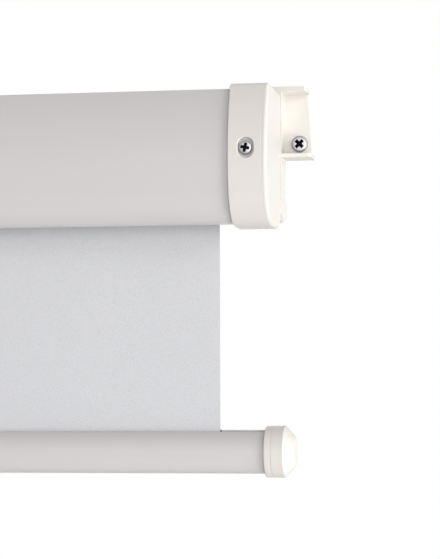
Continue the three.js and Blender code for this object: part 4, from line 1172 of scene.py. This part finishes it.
def makeWoundFabric():
    s = fabric
    coreLow, coreHigh = boxOf("roller_tube")
    rollLow, rollHigh = boxOf("fabric_roll")
    depth, height = middleOf("roller_tube")[1:]
    outer = depth - fabricDepth  # the middle of the cloth where it leaves the roll
    inner = (coreHigh.z - coreLow.z) / 2 + s["thickness"] / 2 + s["woundGap"]
    turns = (outer - inner) / s["thickness"]
    width, length = rollHigh.x - rollLow.x, turns * math.pi * (outer + inner)
    strip = grown(bmesh.new(), woundTree(), {
        "Steps": s["turnSteps"], "Turns": turns, "Inner Radius": inner, "Outer Radius": outer,
        "Width": width, "Finish": finishes["cloth"],
    })
    mesh = thickened(strip, s["thickness"] * s["woundShare"])
    lying = Matrix(((0, 0, 1, 0), (1, 0, 0, 0), (0, 1, 0, 0), (0, 0, 0, 1)))
    mesh.transform(atPlace(0, depth, height, lying))
    piece = finished(mesh, "woundFabric", ["cloth"], "roller", "fabric_roll")
    print("wound fabric:", round(turns, 2), "turns,", round(length), "mm")


makeHangingFabric()
makeWoundFabric()
print("fabric made")

# Spring inside the roller, one wire on a helix
spring = {"turns": 20.0, "wire": 0.9, "coil": 9.2, "steps": 28, "sides": 10}


def springTree():
    floats = ("Turns", "Coil Radius", "Wire Radius", "Length")
    sockets = {"Geometry": ["Geometry"], "Int": ["Steps", "Sides"], "Float": floats, "Material": ["Finish"]}
    tree, given = newTree("springWire", sockets, "Spring")
    helix = addNode(tree, "GeometryNodeCurveSpiral", {}, {
        "Resolution": given["Steps"], "Rotations": given["Turns"], "Height": given["Length"],
        "Start Radius": given["Coil Radius"], "End Radius": given["Coil Radius"],
    })
    links = {"Resolution": given["Sides"], "Radius": given["Wire Radius"]}
    wire = addNode(tree, "GeometryNodeCurvePrimitiveCircle", {}, links)
    sweep = {"Curve": helix.outputs[0], "Profile Curve": wire.outputs[0]}
    coil = addNode(tree, "GeometryNodeCurveToMesh", {"Fill Caps": True}, sweep)
    endTree(tree, coil.outputs[0], given["Finish"])
    return tree


def makeSpring():
    s = spring
    low, high = boxOf("torsion_spring")
    depth, height = middleOf("torsion_spring")[1:]
    mesh = grown(bmesh.new(), springTree(), {
        "Steps": s["steps"], "Sides": s["sides"], "Turns": s["turns"], "Coil Radius": s["coil"],
        "Wire Radius": s["wire"], "Length": high.x - low.x - 2 * s["wire"], "Finish": finishes["steel"],
    })
    lying = Matrix.Rotation(math.pi / 2, 4, "Y")
    mesh.transform(atPlace(low.x + s["wire"], depth, height, lying))
    finished(mesh, "springWire", ["steel"], "roller", "torsion_spring")


makeSpring()
print("spring made")

# Pieces that keep the frame's own mesh
keptFinishes = {
    "steel": ("spindle", "ratchet_wheel", "idler_pin", "lock_cover", "pawl_upper", "pawl_lower"),
    "nylon": ("arbor_collar", "bearing_bush", "idler_plug", "lock_end_plug", "tube_support_plug"),
    "tube": ("roller_tube",),
    "spline": ("fabric_spline",),
}
for look, kept in keptFinishes.items():
    for node in kept:
        nodes[node].data.materials.clear()
        nodes[node].data.materials.append(finishes[look])
print("inner pieces finished")

# Stage, lights and world
stage = {"floorHeight": -1.43, "floorSize": 14, "floorColour": "#eeeeee", "floorRoughness": 0.8}
suns = {  # degrees from the front towards the right, and up
    "key": {"turn": 60, "rise": 17, "angle": 12, "strength": 0.48},
    "fill": {"turn": 62, "rise": 20, "angle": 34, "strength": 0.46},
    "back": {"turn": 205, "rise": 12, "angle": 40, "strength": 0.9},
}
lamps = {
    "front": {
        "place": (1.5, -2.8, 0),
        "aim": (0.6, 0, -0.1),
        "size": 1.6,
        "power": 33.4,
        "colour": "#fffdfc",
    },
    "right": {
        "place": (2.6, -0.6, -1.1),
        "aim": (0.66, -0.03, -0.05),
        "size": 1.6,
        "power": 48.4,
        "colour": "#fffffb",
    },
}
sky = {"above": 0.62, "level": 0.0, "below": 0.0}


def makeFloor(s):
    bm = bmesh.new()
    bmesh.ops.create_grid(bm, x_segments=1, y_segments=1, size=s["floorSize"] / 2)
    floor = working(bm, "floor")
    floor.data.transform(Matrix.Translation((0, 0, s["floorHeight"])))
    look = {"Roughness": s["floorRoughness"], "Base Color": linear(s["floorColour"])}
    floor.data.materials.append(newMaterial("paleFloor", look)[0])


def addLamp(name, kind, strength, towards):
    data = bpy.data.lights.new(name + "Lamp", kind)
    data.energy = strength
    lamp = newObject(name + "Lamp", data)
    lamp.rotation_euler = towards.to_track_quat("Z", "Y").to_euler()
    return lamp


def makeLamps():
    for name, s in suns.items():
        turn, rise = s["turn"] * degree, s["rise"] * degree
        across = math.cos(rise)
        towards = Vector((math.sin(turn) * across, -math.cos(turn) * across, math.sin(rise)))
        lamp = addLamp(name, "SUN", s["strength"], towards)
        lamp.data.angle = s["angle"] * degree
    for name, s in lamps.items():
        lamp = addLamp(name, "AREA", s["power"], Vector(s["place"]) - Vector(s["aim"]))
        lamp.location = s["place"]
        lamp.data.size = s["size"]
        lamp.data.color = linear(s["colour"])[:3]


def makeWorld(s):
    world = bpy.data.worlds.new("studio")
    bpy.context.scene.world = world
    world.use_nodes = True
    tree = world.node_tree
    tree.nodes.clear()
    place = addNode(tree, "ShaderNodeTexCoord").outputs["Generated"]
    split = addNode(tree, "ShaderNodeSeparateXYZ", {}, {"Vector": place})
    reach = {"From Min": -1.0, "From Max": 1.0}
    height = addNode(tree, "ShaderNodeMapRange", reach, {"Value": split.outputs["Z"]})
    ramp = addNode(tree, "ShaderNodeValToRGB", {}, {"Fac": height.outputs[0]})
    stops = ramp.color_ramp.elements
    middle = stops.new(0.5)
    for stop, level in ((stops[0], s["below"]), (middle, s["level"]), (stops[-1], s["above"])):
        stop.color = (level, level, level, 1)
    soft = addNode(tree, "ShaderNodeBackground", {"Strength": 1.0}, {"Color": ramp.outputs[0]})
    white = addNode(tree, "ShaderNodeBackground", {"Color": (1, 1, 1, 1), "Strength": 1.0})
    path = addNode(tree, "ShaderNodeLightPath").outputs
    either = {"operation": "MAXIMUM"}
    first = {0: path["Is Camera Ray"], 1: path["Is Glossy Ray"]}
    seen = addNode(tree, "ShaderNodeMath", either, first).outputs[0]
    second = {0: seen, 1: path["Is Transmission Ray"]}
    shown = addNode(tree, "ShaderNodeMath", either, second).outputs[0]
    mix = addNode(tree, "ShaderNodeMixShader", {}, {0: shown, 1: soft.outputs[0], 2: white.outputs[0]})
    addNode(tree, "ShaderNodeOutputWorld", {}, {"Surface": mix.outputs[0]})


makeFloor(stage)
makeLamps()
makeWorld(sky)
print("stage and lights made")
